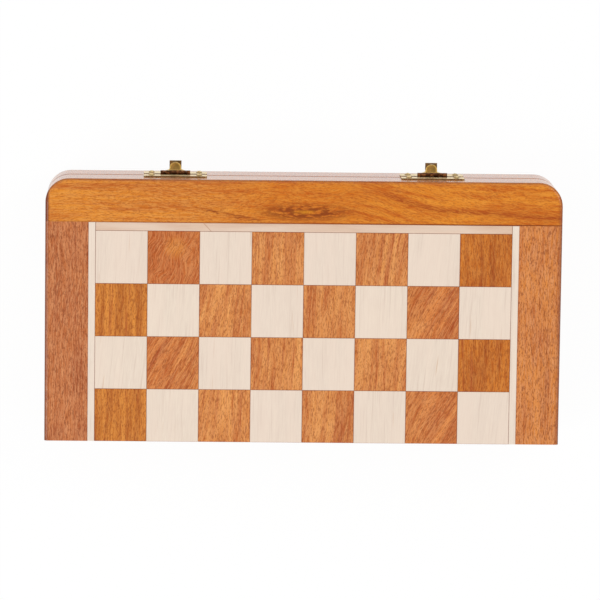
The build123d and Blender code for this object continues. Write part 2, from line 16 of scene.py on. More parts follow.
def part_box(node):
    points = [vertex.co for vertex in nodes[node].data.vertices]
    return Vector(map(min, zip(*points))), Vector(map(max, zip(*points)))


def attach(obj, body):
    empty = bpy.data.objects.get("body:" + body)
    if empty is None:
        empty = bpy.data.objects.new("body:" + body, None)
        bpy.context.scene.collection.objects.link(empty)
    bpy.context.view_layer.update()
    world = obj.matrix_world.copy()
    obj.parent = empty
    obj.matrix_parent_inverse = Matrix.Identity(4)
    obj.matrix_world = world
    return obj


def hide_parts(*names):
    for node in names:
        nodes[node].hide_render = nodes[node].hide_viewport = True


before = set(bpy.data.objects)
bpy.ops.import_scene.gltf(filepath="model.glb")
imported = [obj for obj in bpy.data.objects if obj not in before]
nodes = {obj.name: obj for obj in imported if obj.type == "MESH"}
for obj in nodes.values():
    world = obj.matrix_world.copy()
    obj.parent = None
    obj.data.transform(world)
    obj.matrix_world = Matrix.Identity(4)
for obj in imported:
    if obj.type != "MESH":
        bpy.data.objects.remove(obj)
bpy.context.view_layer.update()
mm = 0.001

# %% [markdown]
# The camera looks almost straight down, from the fold side of upright, so that a
# sliver of the latch wall shows. Its turn, distance and lens come from fitting a
# pinhole camera to the straight edges of the board in the photograph. The turns are
# about the centre of the upper playing face, first about X, then Y, then Z.

# %% Camera
face_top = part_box("upper_border_strips")[1][2]
turn_x, turn_y, turn_z = math.radians(7.76), math.radians(1.57), math.radians(-0.53)
offset_x, offset_y, distance = 1.9 * mm, -7.3 * mm, 2539.6 * mm
picture_side, sensor, focal_pixels = 600, 36.0, 4302.0

turn = (
    Matrix.Rotation(turn_z, 4, "Z")
    @ Matrix.Rotation(turn_y, 4, "Y")
    @ Matrix.Rotation(turn_x, 4, "X")
)
camera_data = bpy.data.cameras.new("camera")
camera_data.sensor_width = sensor
camera_data.lens = focal_pixels / picture_side * sensor
camera = bpy.data.objects.new("camera", camera_data)
camera.matrix_world = (
    Matrix.Translation((0, 0, face_top))
    @ turn.inverted()
    @ Matrix.Translation((-offset_x, -offset_y, distance))
)
bpy.context.scene.collection.objects.link(camera)
bpy.context.scene.camera = camera
bpy.context.scene.view_settings.view_transform = "Standard"
print("lens", round(camera_data.lens, 1), "mm")

# %% [markdown]
# A shader is a small graph of nodes, and writing each link by hand hides what the
# graph says. Here the output of a node is held as a Value. A sign after a Value, such
# as plus or times, adds the Math node for it, so that the finishes below read as
# formulas.


# %% Values that read as formulas
def maths(operation, first, second=0.0):
    """One Math node on one or two numbers."""
    inputs = {0: first, 1: second}
    return node(tree_of(first, second), "Math", inputs, operation=operation)[0]


def sign(operation):
    """What a sign means: one Math node on the numbers beside it."""
    return lambda first, second=0.0: maths(operation, first, second)


class Value:
    """One output of a node in a tree, which can stand in a formula."""

    __add__, __sub__, __mul__, __truediv__ = map(sign, ("ADD", "SUBTRACT", "MULTIPLY", "DIVIDE"))
    __gt__, __lt__, __abs__ = map(sign, ("GREATER_THAN", "LESS_THAN", "ABSOLUTE"))

    def __init__(self, tree, socket):
        self.tree, self.socket = tree, socket

    def __rsub__(self, other):
        return maths("SUBTRACT", other, self)


class Outputs:
    """All outputs of one node, each looked up by its name or number as a Value."""

    def __init__(self, tree, made):
        self.tree, self.made = tree, made

    def __getitem__(self, key):
        return Value(self.tree, self.made.outputs[key])


def fill(made, inputs):
    """Links each Value to its input of a node, and sets plain numbers and colours."""
    for key, value in dict(inputs).items():
        socket = made.inputs[key]
        if isinstance(value, Value):
            value.tree.links.new(value.socket, socket)
        elif socket.type == "RGBA":
            socket.default_value = (*value, 1.0)
        else:
            socket.default_value = value


def node(tree, kind, inputs=(), **settings):
    """Adds one shader node, sets its options and fills its inputs; gives its outputs."""
    made = tree.nodes.new("ShaderNode" + kind)
    for key, setting in settings.items():
        setattr(made, key, setting)
    fill(made, inputs)
    return Outputs(tree, made)


def tree_of(*values):
    """The tree that the first Value among these belongs to."""
    return next(value.tree for value in values if isinstance(value, Value))


print("a Value can be added, taken away, multiplied, divided and compared")

# %% [markdown]
# A few words complete the formulas. A ramp turns one range of a number into another,
# a blend mixes two colours, and layers are blends laid over each other in turn.


# %% Words for formulas
def larger(*numbers):
    """The largest of two or more numbers."""
    return reduce(sign("MAXIMUM"), numbers)


def smaller(*numbers):
    """The smallest of two or more numbers."""
    return reduce(sign("MINIMUM"), numbers)


def vector_maths(operation, first, second):
    """One Vector Math node on two vectors."""
    return node(first.tree, "VectorMath", {0: first, 1: second}, operation=operation)[0]


def combined(*numbers):
    """A vector from its X, Y and Z; those left out are 0."""
    return node(tree_of(*numbers), "CombineXYZ", dict(enumerate(numbers)))[0]


def parted(vector, kind="SeparateXYZ"):
    """The three numbers of a vector, or of a colour with SeparateColor."""
    made = node(vector.tree, kind, {0: vector})
    return [made[i] for i in range(3)]


def length(*numbers):
    """The length of the vector that these numbers make."""
    vector = combined(*numbers)
    return node(vector.tree, "VectorMath", {0: vector}, operation="LENGTH")["Value"]


def ramp(value, low, high, to_low=0.0, to_high=1.0, kind="SMOOTHSTEP"):
    """Maps a number smoothly from the range low to high onto another range."""
    inputs = {"Value": value, 1: low, 2: high, 3: to_low, 4: to_high}
    return node(value.tree, "MapRange", inputs, interpolation_type=kind)[0]


def blend(share, first, second):
    """Mixes two colours by a share from 0 to 1. Inputs 6 and 7 of Mix are its colours."""
    inputs = {0: share, 6: first, 7: second}
    return node(tree_of(share, first, second), "Mix", inputs, data_type="RGBA")[2]


def layered(tint, *layers):
    """Lays colours over a tint in turn; a layer is its mask and its colour."""
    for mask, over in layers:
        tint = blend(mask, tint, over)
    return tint


def noise(vector, scale, detail, output="Fac", **others):
    """Soft random clouds, with so many turns to the metre."""
    inputs = {"Vector": vector, "Scale": scale, "Detail": detail, **others}
    return node(vector.tree, "TexNoise", inputs)[output]


def stretched_noise(vector, across, along, detail=2.0):
    """Noise with so many turns to the metre across the grain and along it."""
    scaled = vector_maths("MULTIPLY", vector, (across, along, across))
    return noise(scaled, 1.0, detail, Roughness=0.55)


print("the words for formulas are ready")

# %% [markdown]
# A group is a graph that several materials use, with named inputs and outputs. A
# material reads the object's own coordinates, which are metres in the frame, and
# reaches a CAD piece through the material slots of its object.

# %% Groups and materials
socket_kinds = {"Vector": "Vector", "Color": "Color", "Dark": "Color", "Light": "Color"}


def group(name, inputs, outputs):
    """A node group with named sockets: its tree, its inputs as Values and its end node."""
    tree = bpy.data.node_groups.new(name, "ShaderNodeTree")
    for titles, way in ((inputs, "INPUT"), (outputs, "OUTPUT")):
        for title in titles:
            kind = "NodeSocket" + socket_kinds.get(title, "Float")
            tree.interface.new_socket(title, in_out=way, socket_type=kind)
    print("group", name)
    start, end = tree.nodes.new("NodeGroupInput"), tree.nodes.new("NodeGroupOutput")
    return tree, Outputs(tree, start), end


def use(shared, inputs):
    """Places a shared group where its vector is and fills its inputs."""
    return node(inputs["Vector"].tree, "Group", inputs, node_tree=shared)


def new_material(name):
    """A material with its main shader and the object's own coordinates."""
    material = bpy.data.materials.new(name)
    material.use_nodes = True
    tree = material.node_tree
    return material, tree.nodes["Principled BSDF"], node(tree, "TexCoord")["Object"]


def bumps(height, strength, depth):
    """A normal that is tilted by the slope of a height."""
    inputs = {"Height": height, "Strength": strength, "Distance": depth}
    return node(height.tree, "Bump", inputs)[0]


def dress(material, *names):
    """Gives a finish to CAD nodes, through the material slots of their objects."""
    for name in names:
        for held in nodes[name].material_slots:
            held.material = material
        print(material.name, "on", name)


# %% [markdown]
# Every new piece is a grid of points worked out by a formula. Its quads join each
# point to its neighbours, doubled points are merged, and the faces of a closed shell
# are turned outwards.

# %% Helpers for meshes
merge_distance, sliver = 0.01 * mm, 0.005 * mm


def grid_faces(rows, columns):
    """Quads between neighbouring points of a grid that is numbered row by row.

    Each quad runs from a point to the next in its row, then on to the next row.
    """
    number = np.arange(rows * columns).reshape(rows, columns)
    corners = [number[:-1, :-1], number[1:, :-1], number[1:, 1:], number[:-1, 1:]]
    return np.stack(corners, axis=-1).reshape(-1, 4)


def clean(work, closed=True):
    """Merges doubled points and turns the faces of a closed shell outwards."""
    bmesh.ops.remove_doubles(work, verts=work.verts, dist=merge_distance)
    bmesh.ops.dissolve_degenerate(work, edges=work.edges, dist=sliver)
    if closed:
        bmesh.ops.recalc_face_normals(work, faces=work.faces)


def new_piece(name, points, faces, material, closed=True):
    """Makes a smooth mesh object from arrays. An open sheet keeps its own side up."""
    mesh = bpy.data.meshes.new(name)
    mesh.from_pydata(points.reshape(-1, 3).tolist(), [], list(faces))
    made = bpy.data.objects.new(name, mesh)
    bpy.context.scene.collection.objects.link(made)
    work = bmesh.new()
    work.from_mesh(mesh)
    clean(work, closed)
    work.to_mesh(mesh)
    work.free()
    mesh.shade_smooth()
    mesh.materials.append(material)
    print(name, "has", len(mesh.polygons), "faces")
    return made


# %% [markdown]
# The photograph is a cut-out look: an even, white studio in which the floor leaves no
# line. The floor here is a plain white disc that still receives shadows. For the eye,
# for gloss and for glass it also glows a little, which turns it the same white as the
# world behind it, while the shadow stays faintly visible. From below it is clear, and
# so it is to light that has come less than 3 mm, which lets the underside of the box
# be looked at too, as if the box were held up.

# %% Floor
white = (1, 1, 1)
floor_reach, floor_rings, floor_sides, floor_drop = 4.0, 24, 96, 0.2 * mm
glow_share, clear_within = 0.955, 3 * mm
ring, side = np.meshgrid(
    np.linspace(0, 1, floor_rings), np.linspace(0, 2 * math.pi, floor_sides), indexing="ij"
)
ring_radius = floor_reach * ring**2
floor_points = np.stack(
    [ring_radius * np.cos(side), ring_radius * np.sin(side), 0 * ring - floor_drop], axis=-1
)
floor_white, shader, _ = new_material("white_floor")
fill(shader, {"Base Color": white, "Roughness": 1.0, "Specular IOR Level": 0.0})
tree = floor_white.node_tree
ray = node(tree, "LightPath")
shown = larger(ray["Is Camera Ray"], ray["Is Glossy Ray"], ray["Is Transmission Ray"])
lit = Value(tree, shader.outputs[0])
glow = node(tree, "Emission", {"Color": white, "Strength": 1.0})[0]
lit = node(tree, "MixShader", {0: shown * glow_share, 1: lit, 2: glow})[0]
below = larger(node(tree, "NewGeometry")["Backfacing"], ray["Ray Length"] < clear_within)
clear = node(tree, "BsdfTransparent")[0]
lit = node(tree, "MixShader", {0: below, 1: lit, 2: clear})[0]
fill(tree.nodes["Material Output"], {"Surface": lit})
floor_faces = grid_faces(floor_rings, floor_sides).tolist()
floor = new_piece("floor", floor_points, floor_faces, floor_white, closed=False)
print("the floor faces up:", floor.data.polygons[0].normal.z > 0)

# %% [markdown]
# The world is one even grey for light, and white for the eye. Straight overhead it
# turns dark for gloss alone, so that flat lacquer mirrors nothing pale into the
# camera and the wood keeps its colour.

# %% World
ambient, ceiling_gloss, ceiling_low, ceiling_high = 0.66, 0.05, 0.84, 0.95
world = bpy.data.worlds.new("studio")
bpy.context.scene.world = world
world.use_nodes = True
tree = world.node_tree
tree.nodes.clear()
ray = node(tree, "LightPath")
_, _, height = parted(node(tree, "TexCoord")["Generated"])
mirrored = ramp(height, ceiling_low, ceiling_high, 1.0, ceiling_gloss)
see_through = larger(ray["Is Camera Ray"], ray["Is Transmission Ray"])
level = node(tree, "Mix", {0: ray["Is Glossy Ray"], 2: ambient, 3: mirrored})[0]
level = node(tree, "Mix", {0: see_through, 2: level, 3: 1.0})[0]
sky = node(tree, "Background", {"Color": white, "Strength": level})[0]
node(tree, "OutputWorld", {"Surface": sky})
print("ambient", ambient)

# %% [markdown]
# Two wide soft boxes stand left and right of the board, well off the mirror line of
# the camera, so that lacquer keeps its colour and only brass and rounded edges catch
# them. Together with the world they give a level at which a colour renders about as
# it is written.


# %% Soft boxes
def soft_box(name, place, size, power):
    """A square area light at a place, turned to face the middle of the board."""
    data = bpy.data.lights.new(name, "AREA")
    data.shape, data.size, data.energy = "SQUARE", size, power
    made = bpy.data.objects.new(name, data)
    made.location = place
    made.rotation_euler = (-Vector(place)).to_track_quat("-Z", "Y").to_euler()
    bpy.context.scene.collection.objects.link(made)
    print(name, power, "W")


soft_box("left_soft_box", (-1.5, -0.7, 1.7), 1.3, 18.5)
soft_box("right_soft_box", (1.6, 0.9, 1.5), 1.5, 15.5)

# %% [markdown]
# Every wood here comes from one shared group. Real grain is a set of long tubes, so
# it is noise that is stretched along the tree: broad streaks, fine fibres, and pores,
# which are short dark dashes where the tubes are cut open. The group works in metres
# with the grain along Y, and each finish turns its own coordinates to suit.


# %% Shared group: wood grain
def streaked(vector, across, along, low, high, detail=2.0):
    """Stretched noise with its range from low to high opened out to 0 and 1."""
    return ramp(stretched_noise(vector, across, along, detail), low, high)


grain, ins, end = group(
    "wood_grain", ["Vector", "Seed", "Waviness"], ["Streaks", "Fibres", "Pores", "Curl", "Veins"]
)
seed_step, wander_turns = 0.37, (22.0, 14.0, 22.0)
apart = vector_maths("ADD", ins["Vector"], combined(0.0, 0.0, ins["Seed"] * seed_step))
wander = noise(vector_maths("MULTIPLY", apart, wander_turns), 1.0, 1.0)
shift = (wander - 0.5) * ins["Waviness"]
bent = vector_maths("ADD", apart, combined(shift, 0.0, shift))
broad, narrow = streaked(bent, 210, 11, 0.32, 0.68), streaked(bent, 640, 26, 0.32, 0.68)


def dashes(across, along, chosen):
    """Dark dashes: stretched cells, open near their middles, and only some of them.

    The cells have so many turns to the metre across the grain and along it.
    """
    scaled = vector_maths("MULTIPLY", bent, (across, along, across))
    cells = node(grain, "TexVoronoi", {"Vector": scaled, "Scale": 1.0})
    chance, _, _ = parted(cells["Color"], "SeparateColor")
    return ramp(cells["Distance"], 0.5, 0.14) * ramp(chance, chosen, chosen + 0.2)


long_dashes, short_dashes = dashes(1300, 260, 0.6), dashes(1900, 600, 0.3)
flecks = streaked(bent, 1500, 370, 0.53, 0.63, 3.0)
fill(end, {
    "Streaks": broad * 0.6 + narrow * 0.4,
    "Fibres": streaked(bent, 1700, 120, 0.34, 0.66),
    "Curl": streaked(bent, 60, 40, 0.35, 0.65),
    "Veins": streaked(bent, 430, 9, 0.56, 0.72, 3.0),
    "Pores": larger(long_dashes, short_dashes * 0.75, flecks * 0.8),
})

# %% [markdown]
# The squares are cut from many strips of veneer, so each has its own grain, lean and
# tone. A second group finds which square a point is in, draws random numbers for it
# from its column, row and side of the box, and gives back coordinates that are turned
# and moved for that square. It also marks the glued edge all round the square, where
# a thin dark line shows.

# %% Shared group: squares of the board
(left, fold, _), (right, front, _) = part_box("upper_light_squares")
columns, rows = 8, 4
pitch_x, pitch_y = (right - left) / columns, (front - fold) / rows
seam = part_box("lower_latch_rail")[1][2]
tile, ins, end = group(
    "board_squares", ["Vector", "Seed", "Lean", "Glue Width"],
    ["Vector", "Chance", "Tone", "Glue", "Outward"],
)
x, y, z = parted(ins["Vector"])
column, row = (x - left) / pitch_x, (y - fold) / pitch_y
whole_column, whole_row = maths("FLOOR", column), maths("FLOOR", row)
half_seed, least_lean = 7.0, 0.4
cell = combined(whole_column, whole_row, (z > seam) * half_seed + ins["Seed"])
drawn = node(tile, "TexWhiteNoise", {"Vector": cell}, noise_dimensions="3D")
red, green, blue = parted(drawn["Color"], "SeparateColor")
middle = combined((whole_column + 0.5) * pitch_x + left, (whole_row + 0.5) * pitch_y + fold)
outward = ramp(abs(x), 0.5 * pitch_x, 3.5 * pitch_x)
lean = (red * (1 - least_lean) + least_lean) * ramp(outward, 0.2, 0.75)
turning = {"Vector": ins["Vector"], "Center": middle, "Angle": (blue * 0.2 + lean) * ins["Lean"]}
turned = node(tile, "VectorRotate", turning, rotation_type="Z_AXIS")[0]
edge = smaller(maths("PINGPONG", column, 0.5) * pitch_x, maths("PINGPONG", row, 0.5) * pitch_y)
fill(end, {
    "Vector": vector_maths("ADD", turned, combined(green, blue, red * 0.5)),
    "Chance": drawn["Value"],
    "Tone": green,
    "Glue": ramp(edge, 0.0, ins["Glue Width"], 1.0, 0.0, "LINEAR"),
    "Outward": outward,
})
print("squares", round(pitch_x / mm, 2), "by", round(pitch_y / mm, 2), "mm")

# %% [markdown]
# The rails are rounded over along the outside of the box, and a thin darker line is
# painted there as shade, where the round-over turns away from the light. The third
# group measures how far a point is inside the rounded outline of the box, seen from
# above. It gives three masks for painted shade: that line near both playing faces, the
# closed seam on the wall, and the wall itself.

# %% Shared group: painted shade round the rim
outline_low, outline_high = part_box("upper_latch_rail")
half_length, half_width, _ = outline_high
corner_radius = 14 * mm
rim_fade, wall_fade, seam_fade = (3.2 * mm, 1.2 * mm), (1.2 * mm, 0.3 * mm), (2.8 * mm, 0.6 * mm)
rim, ins, end = group("rim_line", ["Vector", "Width"], ["Rim", "Seam", "Wall"])
x, y, z = parted(ins["Vector"])
out_x, out_y = abs(x) - (half_length - corner_radius), y - (half_width - corner_radius)
reach = length(larger(out_x, 0.0), larger(out_y, 0.0))
depth = corner_radius - (reach + smaller(larger(out_x, out_y), 0.0))
from_face = seam - abs(z - seam)
near_edge = ramp(depth, 0.0, ins["Width"], 1.0, 0.0, "LINEAR")
on_wall = ramp(depth, *wall_fade)
# Each mask marks where the woods get painted shade: Rim the rounded rim, Seam the closed seam, Wall
# the whole wall.
fill(end, {
    "Rim": near_edge * ramp(from_face, *rim_fade),
    "Seam": ramp(abs(z - seam), *seam_fade) * on_wall,
    "Wall": on_wall,
})
print("outline", round(half_length / mm, 1), round(half_width / mm, 1))

# %% [markdown]
# Gloss lacquer is a clear coat on the shader. From above it hardly shows, but the
# latch wall, seen at a grazing angle, turns pale with the white floor in it. Under it
# the wood keeps a little bump: fibres stand up and pores are dull and sunk.

# %% Lacquer and bump shared by the woods
face_height, fibre_rise, wood_bump = 0.6, 0.3, 0.35
full_coat, coat_lost = 0.86, 0.8
# The first two tones are painted shade, on the closed seam and on the wall; the third is the brown
# of the glue lines.
seam_painted_shade, wall_painted_shade, glue_brown = (0.12, 0.02, 0.008), (0.05, 0.02, 0.02), (0.3, 0.05, 0.006)
print("tones of dirt", seam_painted_shade, wall_painted_shade, glue_brown)


def lacquer(shader, gloss=0.14, weight=1.0):
    """A clear gloss coat over wood, set on the shader's own sockets."""
    coat = {"Coat Weight": weight, "Coat Roughness": gloss, "Coat IOR": 1.5}
    fill(shader, {**coat, "Specular IOR Level": 0.15})


def finish_wood(shader, tint, parts, depth=0.04, rough=(0.6, 0.42)):
    """Links colour, bump and roughness of a wood, from rough in a pore to smooth."""
    height = parts["Fibres"] * fibre_rise + face_height - parts["Pores"] * face_height
    normal = bumps(height, wood_bump, depth * mm)
    roughness = ramp(height, 0.0, 1.0, *rough)
    fill(shader, {"Base Color": tint, "Normal": normal, "Roughness": roughness})


def dull_rim(shader, edge):
    """The coat is rubbed thin on the rounded rim and along the seam, so they shine less."""
    worn = larger(edge["Rim"], edge["Seam"] * 0.8)
    fill(shader, {"Coat Weight": full_coat - worn * coat_lost})


def along_x(vector):
    """Coordinates with X and Y changed over, so that the grain runs along X."""
    x, y, z = parted(vector)
    return combined(y, x, z)


# %% [markdown]
# The long latch rail is a golden orange wood with its grain along X. A small knot
# sits at the middle, a little towards the squares, and the fibres part round it. To
# the right the grain sweeps down towards the squares, with one dark streak in it.
# Here the coordinates are bent first, so that every mark below follows the grain.

# %% Grain of the latch rails
golden, shader, place = new_material("golden_latch_rail")
x, y, z = parted(place)
upper = z > seam
knot_x, knot_y, knot_long, knot_wide = 0.5 * mm, 59.5 * mm, 24 * mm, 4.6 * mm
from_knot = length((x - knot_x) / knot_long, (y - knot_y) / knot_wide)
knot = ramp(from_knot, 1.5, 0.5) * upper
swirl = knot * (y - (knot_y + 2 * mm))
sweep_start, sweep_end, sweep_fall, sweep_slope = 25 * mm, 85 * mm, 10.5 * mm, 0.06
past = larger(x - sweep_start, 0.0)
level_y = y + (ramp(x, sweep_start, sweep_end, 0.0, sweep_fall) + past * sweep_slope)
swept = combined(swirl * -0.45 + level_y, x, z)
parts = use(grain, {"Vector": swept, "Seed": upper * 3.0, "Waviness": 0.018})
bands = streaked(swept, 340, 8, 0.38, 0.62, 3.0)
patch = streaked(swept, 290, 30, 0.36, 0.64)
speck = stretched_noise(swept, 1350, 230, 3.0)
print("knot at", round(knot_x / mm, 1), round(knot_y / mm, 1), "mm")

# %% [markdown]
# Single marks of the latch rail are masks too. The streak follows the swept grain, a
# row of pores leads to the knot from the left, darker end grain shows at both ends,
# and a joint line runs along the rail's inner edge. A fade is the pair of distances
# between which a mask goes from nothing to full.

# %% Marks of the latch rails
streak_start, streak_full, streak_level = 38 * mm, 54 * mm, 75 * mm
streak_fade, line_fade, line_ends = (2.6 * mm, 0.3 * mm), (1.8 * mm, 0.3 * mm), (25 * mm, 12 * mm)
streak = ramp(abs(level_y - streak_level), *streak_fade) * ramp(x, streak_start, streak_full)
streak = streak * upper * ramp(parts["Fibres"], 0.1, 0.8, 0.85, 0.35)
line_x, line_y, line_slope = -42 * mm, 57 * mm, -0.19
from_line = x - line_x
off_line = y - (from_line * line_slope + line_y)
line = ramp(abs(off_line), *line_fade) * ramp(abs(from_line), *line_ends)
line = line * upper * ramp(speck, 0.45, 0.6, 0.1, 0.8)
dark_knot, heart = ramp(speck, 0.4, 0.54) * knot, ramp(from_knot, 0.4, 0.02) * upper
joint_fade, end_fade = (0.85 * mm, 0.3 * mm), (3.0 * mm, 0.9 * mm)
both_ends = (-half_length, half_length)
joint = ramp(y - outline_low[1], *joint_fade) * ramp(x, *both_ends, 0.35, 0.9)
end_grain = ramp(half_length - abs(x), *end_fade) * ramp(x, *both_ends, 0.95, 0.35)
edge = use(rim, {"Vector": place, "Width": 2.4 * mm})
print("streak from", round(streak_start / mm), "mm, line of pores at", round(line_x / mm), "mm")

# %% [markdown]
# The colour starts as a blend of two golds. Thin layers then go over it in turn, each
# through its own mask, from the broad tones to the finest marks, and the dark joint, the
# end grain and painted shade on the seam, the rim and the wall come last. The rail turns
# redder from the left to the middle, and its patches grow stronger from there to the right.

# %% Finish of the latch rails
red_start, red_full, patch_full = -70 * mm, -10 * mm, 50 * mm
redder = ramp(x, red_start, red_full) * 0.6
patch_tone = blend(patch, (0.5, 0.085, 0.0), (0.82, 0.28, 0.018))
tint = layered(
    blend(parts["Streaks"], (0.5, 0.105, 0.01), (0.82, 0.3, 0.04)),
    (parts["Curl"] * 0.15, (0.66, 0.155, 0.02)),
    (parts["Veins"] * 0.6, (0.4, 0.07, 0.008)),
    (bands * 0.5, (0.88, 0.33, 0.026)),
    ((1 - bands) * 0.5, (0.46, 0.085, 0.003)),
    (redder, (0.62, 0.135, 0.001)),
    (ramp(x, 0.0, patch_full, 0.25, 0.6), patch_tone),
    (parts["Fibres"] * 0.4, blend(redder, (0.88, 0.41, 0.1), (0.86, 0.335, 0.02))),
    (streak, (0.38, 0.06, 0.004)),
    (knot * 0.4, (0.45, 0.08, 0.003)),
    (dark_knot * 0.7, (0.16, 0.018, 0.001)),
    (heart * 0.65, (0.8, 0.3, 0.012)),
    (line, (0.24, 0.035, 0.003)),
    (parts["Pores"] * 0.5, (0.3, 0.05, 0.003)),
    # Painted shade along the closed seam.
    (edge["Seam"] * 0.3, seam_painted_shade),
    (joint, (0.18, 0.03, 0.006)),
    (end_grain, (0.15, 0.022, 0.006)),
    # Painted shade on the rounded rim and over the wall.
    (edge["Rim"] * 0.35, (0.3, 0.06, 0.008)),
    (edge["Wall"] * 0.3, wall_painted_shade),
)
finish_wood(shader, tint, parts)
lacquer(shader)
dull_rim(shader, edge)
dress(golden, "lower_latch_rail", "upper_latch_rail")

# %% [markdown]
# The side rails are a cooler, copper brown with closely packed pores and their grain
# along Y. The right one is a little lighter and more orange, as boards from two trees
# are. The hinge rail closes the box at the fold, with the same wood turned along X.


# %% Finish of the side and hinge rails
def copper_wood(name, dark, light, seed, turn_grain=False):
    """Copper brown rail wood: a blend of two tones by streaks, then dense pores."""
    material, shader, place = new_material(name)
    vector = along_x(place) if turn_grain else place
    parts = use(grain, {"Vector": vector, "Seed": seed, "Waviness": 0.006})
    edge = use(rim, {"Vector": place, "Width": 3.0 * mm})
    tint = layered(
        blend(parts["Streaks"], dark, light),
        (parts["Veins"] * 0.5, (0.32, 0.062, 0.018)),
        (parts["Curl"] * 0.35, (light[0] * 1.12, light[1] * 1.15, light[2])),
        (parts["Fibres"] * 0.5, (0.82, 0.375, 0.17)),
        (parts["Pores"] * 0.72, (0.2, 0.036, 0.006)),
        # Painted shade on the closed seam, the rounded rim and the wall.
        (edge["Seam"] * 0.4, seam_painted_shade),
        (edge["Rim"] * 0.75, (0.2, 0.038, 0.008)),
        (edge["Wall"] * 0.3, wall_painted_shade),
    )
    finish_wood(shader, tint, parts)
    lacquer(shader)
    dull_rim(shader, edge)
    return material


left_copper = copper_wood("copper_left_rail", (0.34, 0.062, 0.013), (0.58, 0.18, 0.056), 5.0)
right_copper = copper_wood("copper_right_rail", (0.44, 0.09, 0.013), (0.75, 0.26, 0.054), 9.0)
hinge_copper = copper_wood("copper_hinge_rail", (0.5, 0.15, 0.05), (0.62, 0.22, 0.08), 13.0, True)
dress(left_copper, "lower_left_rail", "upper_left_rail")
dress(right_copper, "lower_right_rail", "upper_right_rail")
dress(hinge_copper, "lower_hinge_rail", "upper_hinge_rail")

# %% [markdown]
# Each dark square leans its grain to the right by its own angle, except those of the
# two outer columns. One square near the left, beside the latch rail, is cut from
# curly wood, so noise bends its coordinates.

# %% Grain of the dark squares
dark_veneer, shader, place = new_material("dark_veneer")
x, y, z = parted(place)
outer_from, outer_edge, greatest_lean = 3.0, 0.02, 0.5
outer = ramp(abs(x) / pitch_x, outer_from - outer_edge, outer_from + outer_edge)
lean = (1 - outer) * greatest_lean
square = use(tile, {"Vector": place, "Seed": 11.0, "Lean": lean, "Glue Width": 0.3 * mm})
curl_x, curl_y, curl_reach = left + 1.5 * pitch_x, fold + 3.5 * pitch_y, 9 * mm
heart_x, heart_y, heart_fade = 1 * mm, 6 * mm, (9 * mm, 2 * mm)
off_x, off_y, off_z = x - curl_x, y - curl_y, z - 2 * seam
in_curl = (abs(off_x) < 0.5 * pitch_x) * (abs(off_y) < 0.5 * pitch_y) * (off_z > -seam)
heart = ramp(length(off_x - heart_x, off_y - heart_y, off_z), *heart_fade) * in_curl
swirled = vector_maths("SUBTRACT", noise(place, 80.0, 1.0, "Color"), (0.5, 0.5, 0.5))
bend = in_curl * curl_reach
swirled = vector_maths("MULTIPLY", swirled, combined(bend, bend))
vector = vector_maths("ADD", square["Vector"], swirled)
parts = use(grain, {"Vector": vector, "Seed": square["Chance"], "Waviness": 0.006})
print("curly square at", round(curl_x / mm, 1), round(curl_y / mm, 1), "mm")

# %% [markdown]
# The dark squares are peach to copper in the middle of the board, redder towards the
# sides, and yellow brown in the two outer columns, where the maker used another
# board. The change from one to the next is a rule on the distance from the middle.

# %% Finish of the dark squares
streaks = parts["Streaks"]
peach = blend(streaks, (0.51, 0.112, 0.016), (0.96, 0.425, 0.115))
red = blend(streaks, (0.37, 0.048, 0.004), (0.77, 0.222, 0.044))
right_yellow = blend(streaks, (0.33, 0.05, 0.001), (0.7, 0.21, 0.02))
left_yellow = blend(streaks, (0.38, 0.078, 0.004), (0.82, 0.3, 0.045))
tint = layered(
    blend(ramp(square["Outward"], 0.35, 0.8) * 0.75, peach, red),
    (square["Tone"] * 0.3, (0.5, 0.14, 0.04)),
    (in_curl * 0.6, (0.47, 0.078, 0.006)),
    (heart * 0.55, (0.8, 0.3, 0.045)),
    (outer, blend(x < 0.0, right_yellow, left_yellow)),
    (parts["Curl"] * 0.18, (0.46, 0.105, 0.024)),
    (parts["Veins"] * 0.7, (0.4, 0.066, 0.012)),
    (parts["Fibres"] * 0.38, blend(outer, (0.88, 0.42, 0.165), (0.8, 0.34, 0.08))),
    (parts["Pores"] * 0.68, (0.26, 0.048, 0.005)),
    (square["Glue"] * 0.85, (0.24, 0.035, 0.004)),
)
finish_wood(shader, tint, parts)
lacquer(shader)
dress(dark_veneer, "lower_dark_squares", "upper_dark_squares")

# %% [markdown]
# The pale squares and border strips are close-grained maple: nearly flat cream with
# faint grey lines, and here and there a short brown streak.


# %% Finish of the pale squares
def maple(vector, seed, cream, shade):
    """Maple: cream, greyed by fine fibres, with rare brown streaks and warm clouds."""
    parts = use(grain, {"Vector": vector, "Seed": seed, "Waviness": 0.004})
    tint = layered(
        blend(parts["Fibres"] * 0.5, cream, shade),
        (parts["Streaks"] * 0.4, shade),
        (streaked(vector, 700, 34, 0.72, 0.8, 1.0) * 0.5, (0.6, 0.36, 0.2)),
        (streaked(vector, 1150, 26, 0.54, 0.72) * 0.42, (0.62, 0.47, 0.38)),
        (streaked(vector, 120, 18, 0.35, 0.65, 1.0) * 0.45, (0.89, 0.73, 0.6)),
    )
    return tint, parts


pale_maple, shader, place = new_material("pale_maple")
square = use(tile, {"Vector": place, "Seed": 4.0, "Lean": 0.09, "Glue Width": 0.24 * mm})
tint, parts = maple(square["Vector"], square["Chance"], (0.87, 0.74, 0.61), (0.77, 0.63, 0.52))
tint = layered(
    tint, (square["Tone"] * 0.25, (0.84, 0.68, 0.58)), (square["Glue"] * 0.95, glue_brown)
)
finish_wood(shader, tint, parts, 0.02)
lacquer(shader)
dress(pale_maple, "lower_light_squares", "upper_light_squares")

# %% [markdown]
# The strip along the latch rail is darker and pinker than the strips at the sides,
# with its grain along X and one brown hairline across it. Thin glue lines frame every
# strip: their mask is the distance from the nearest edge of a strip.

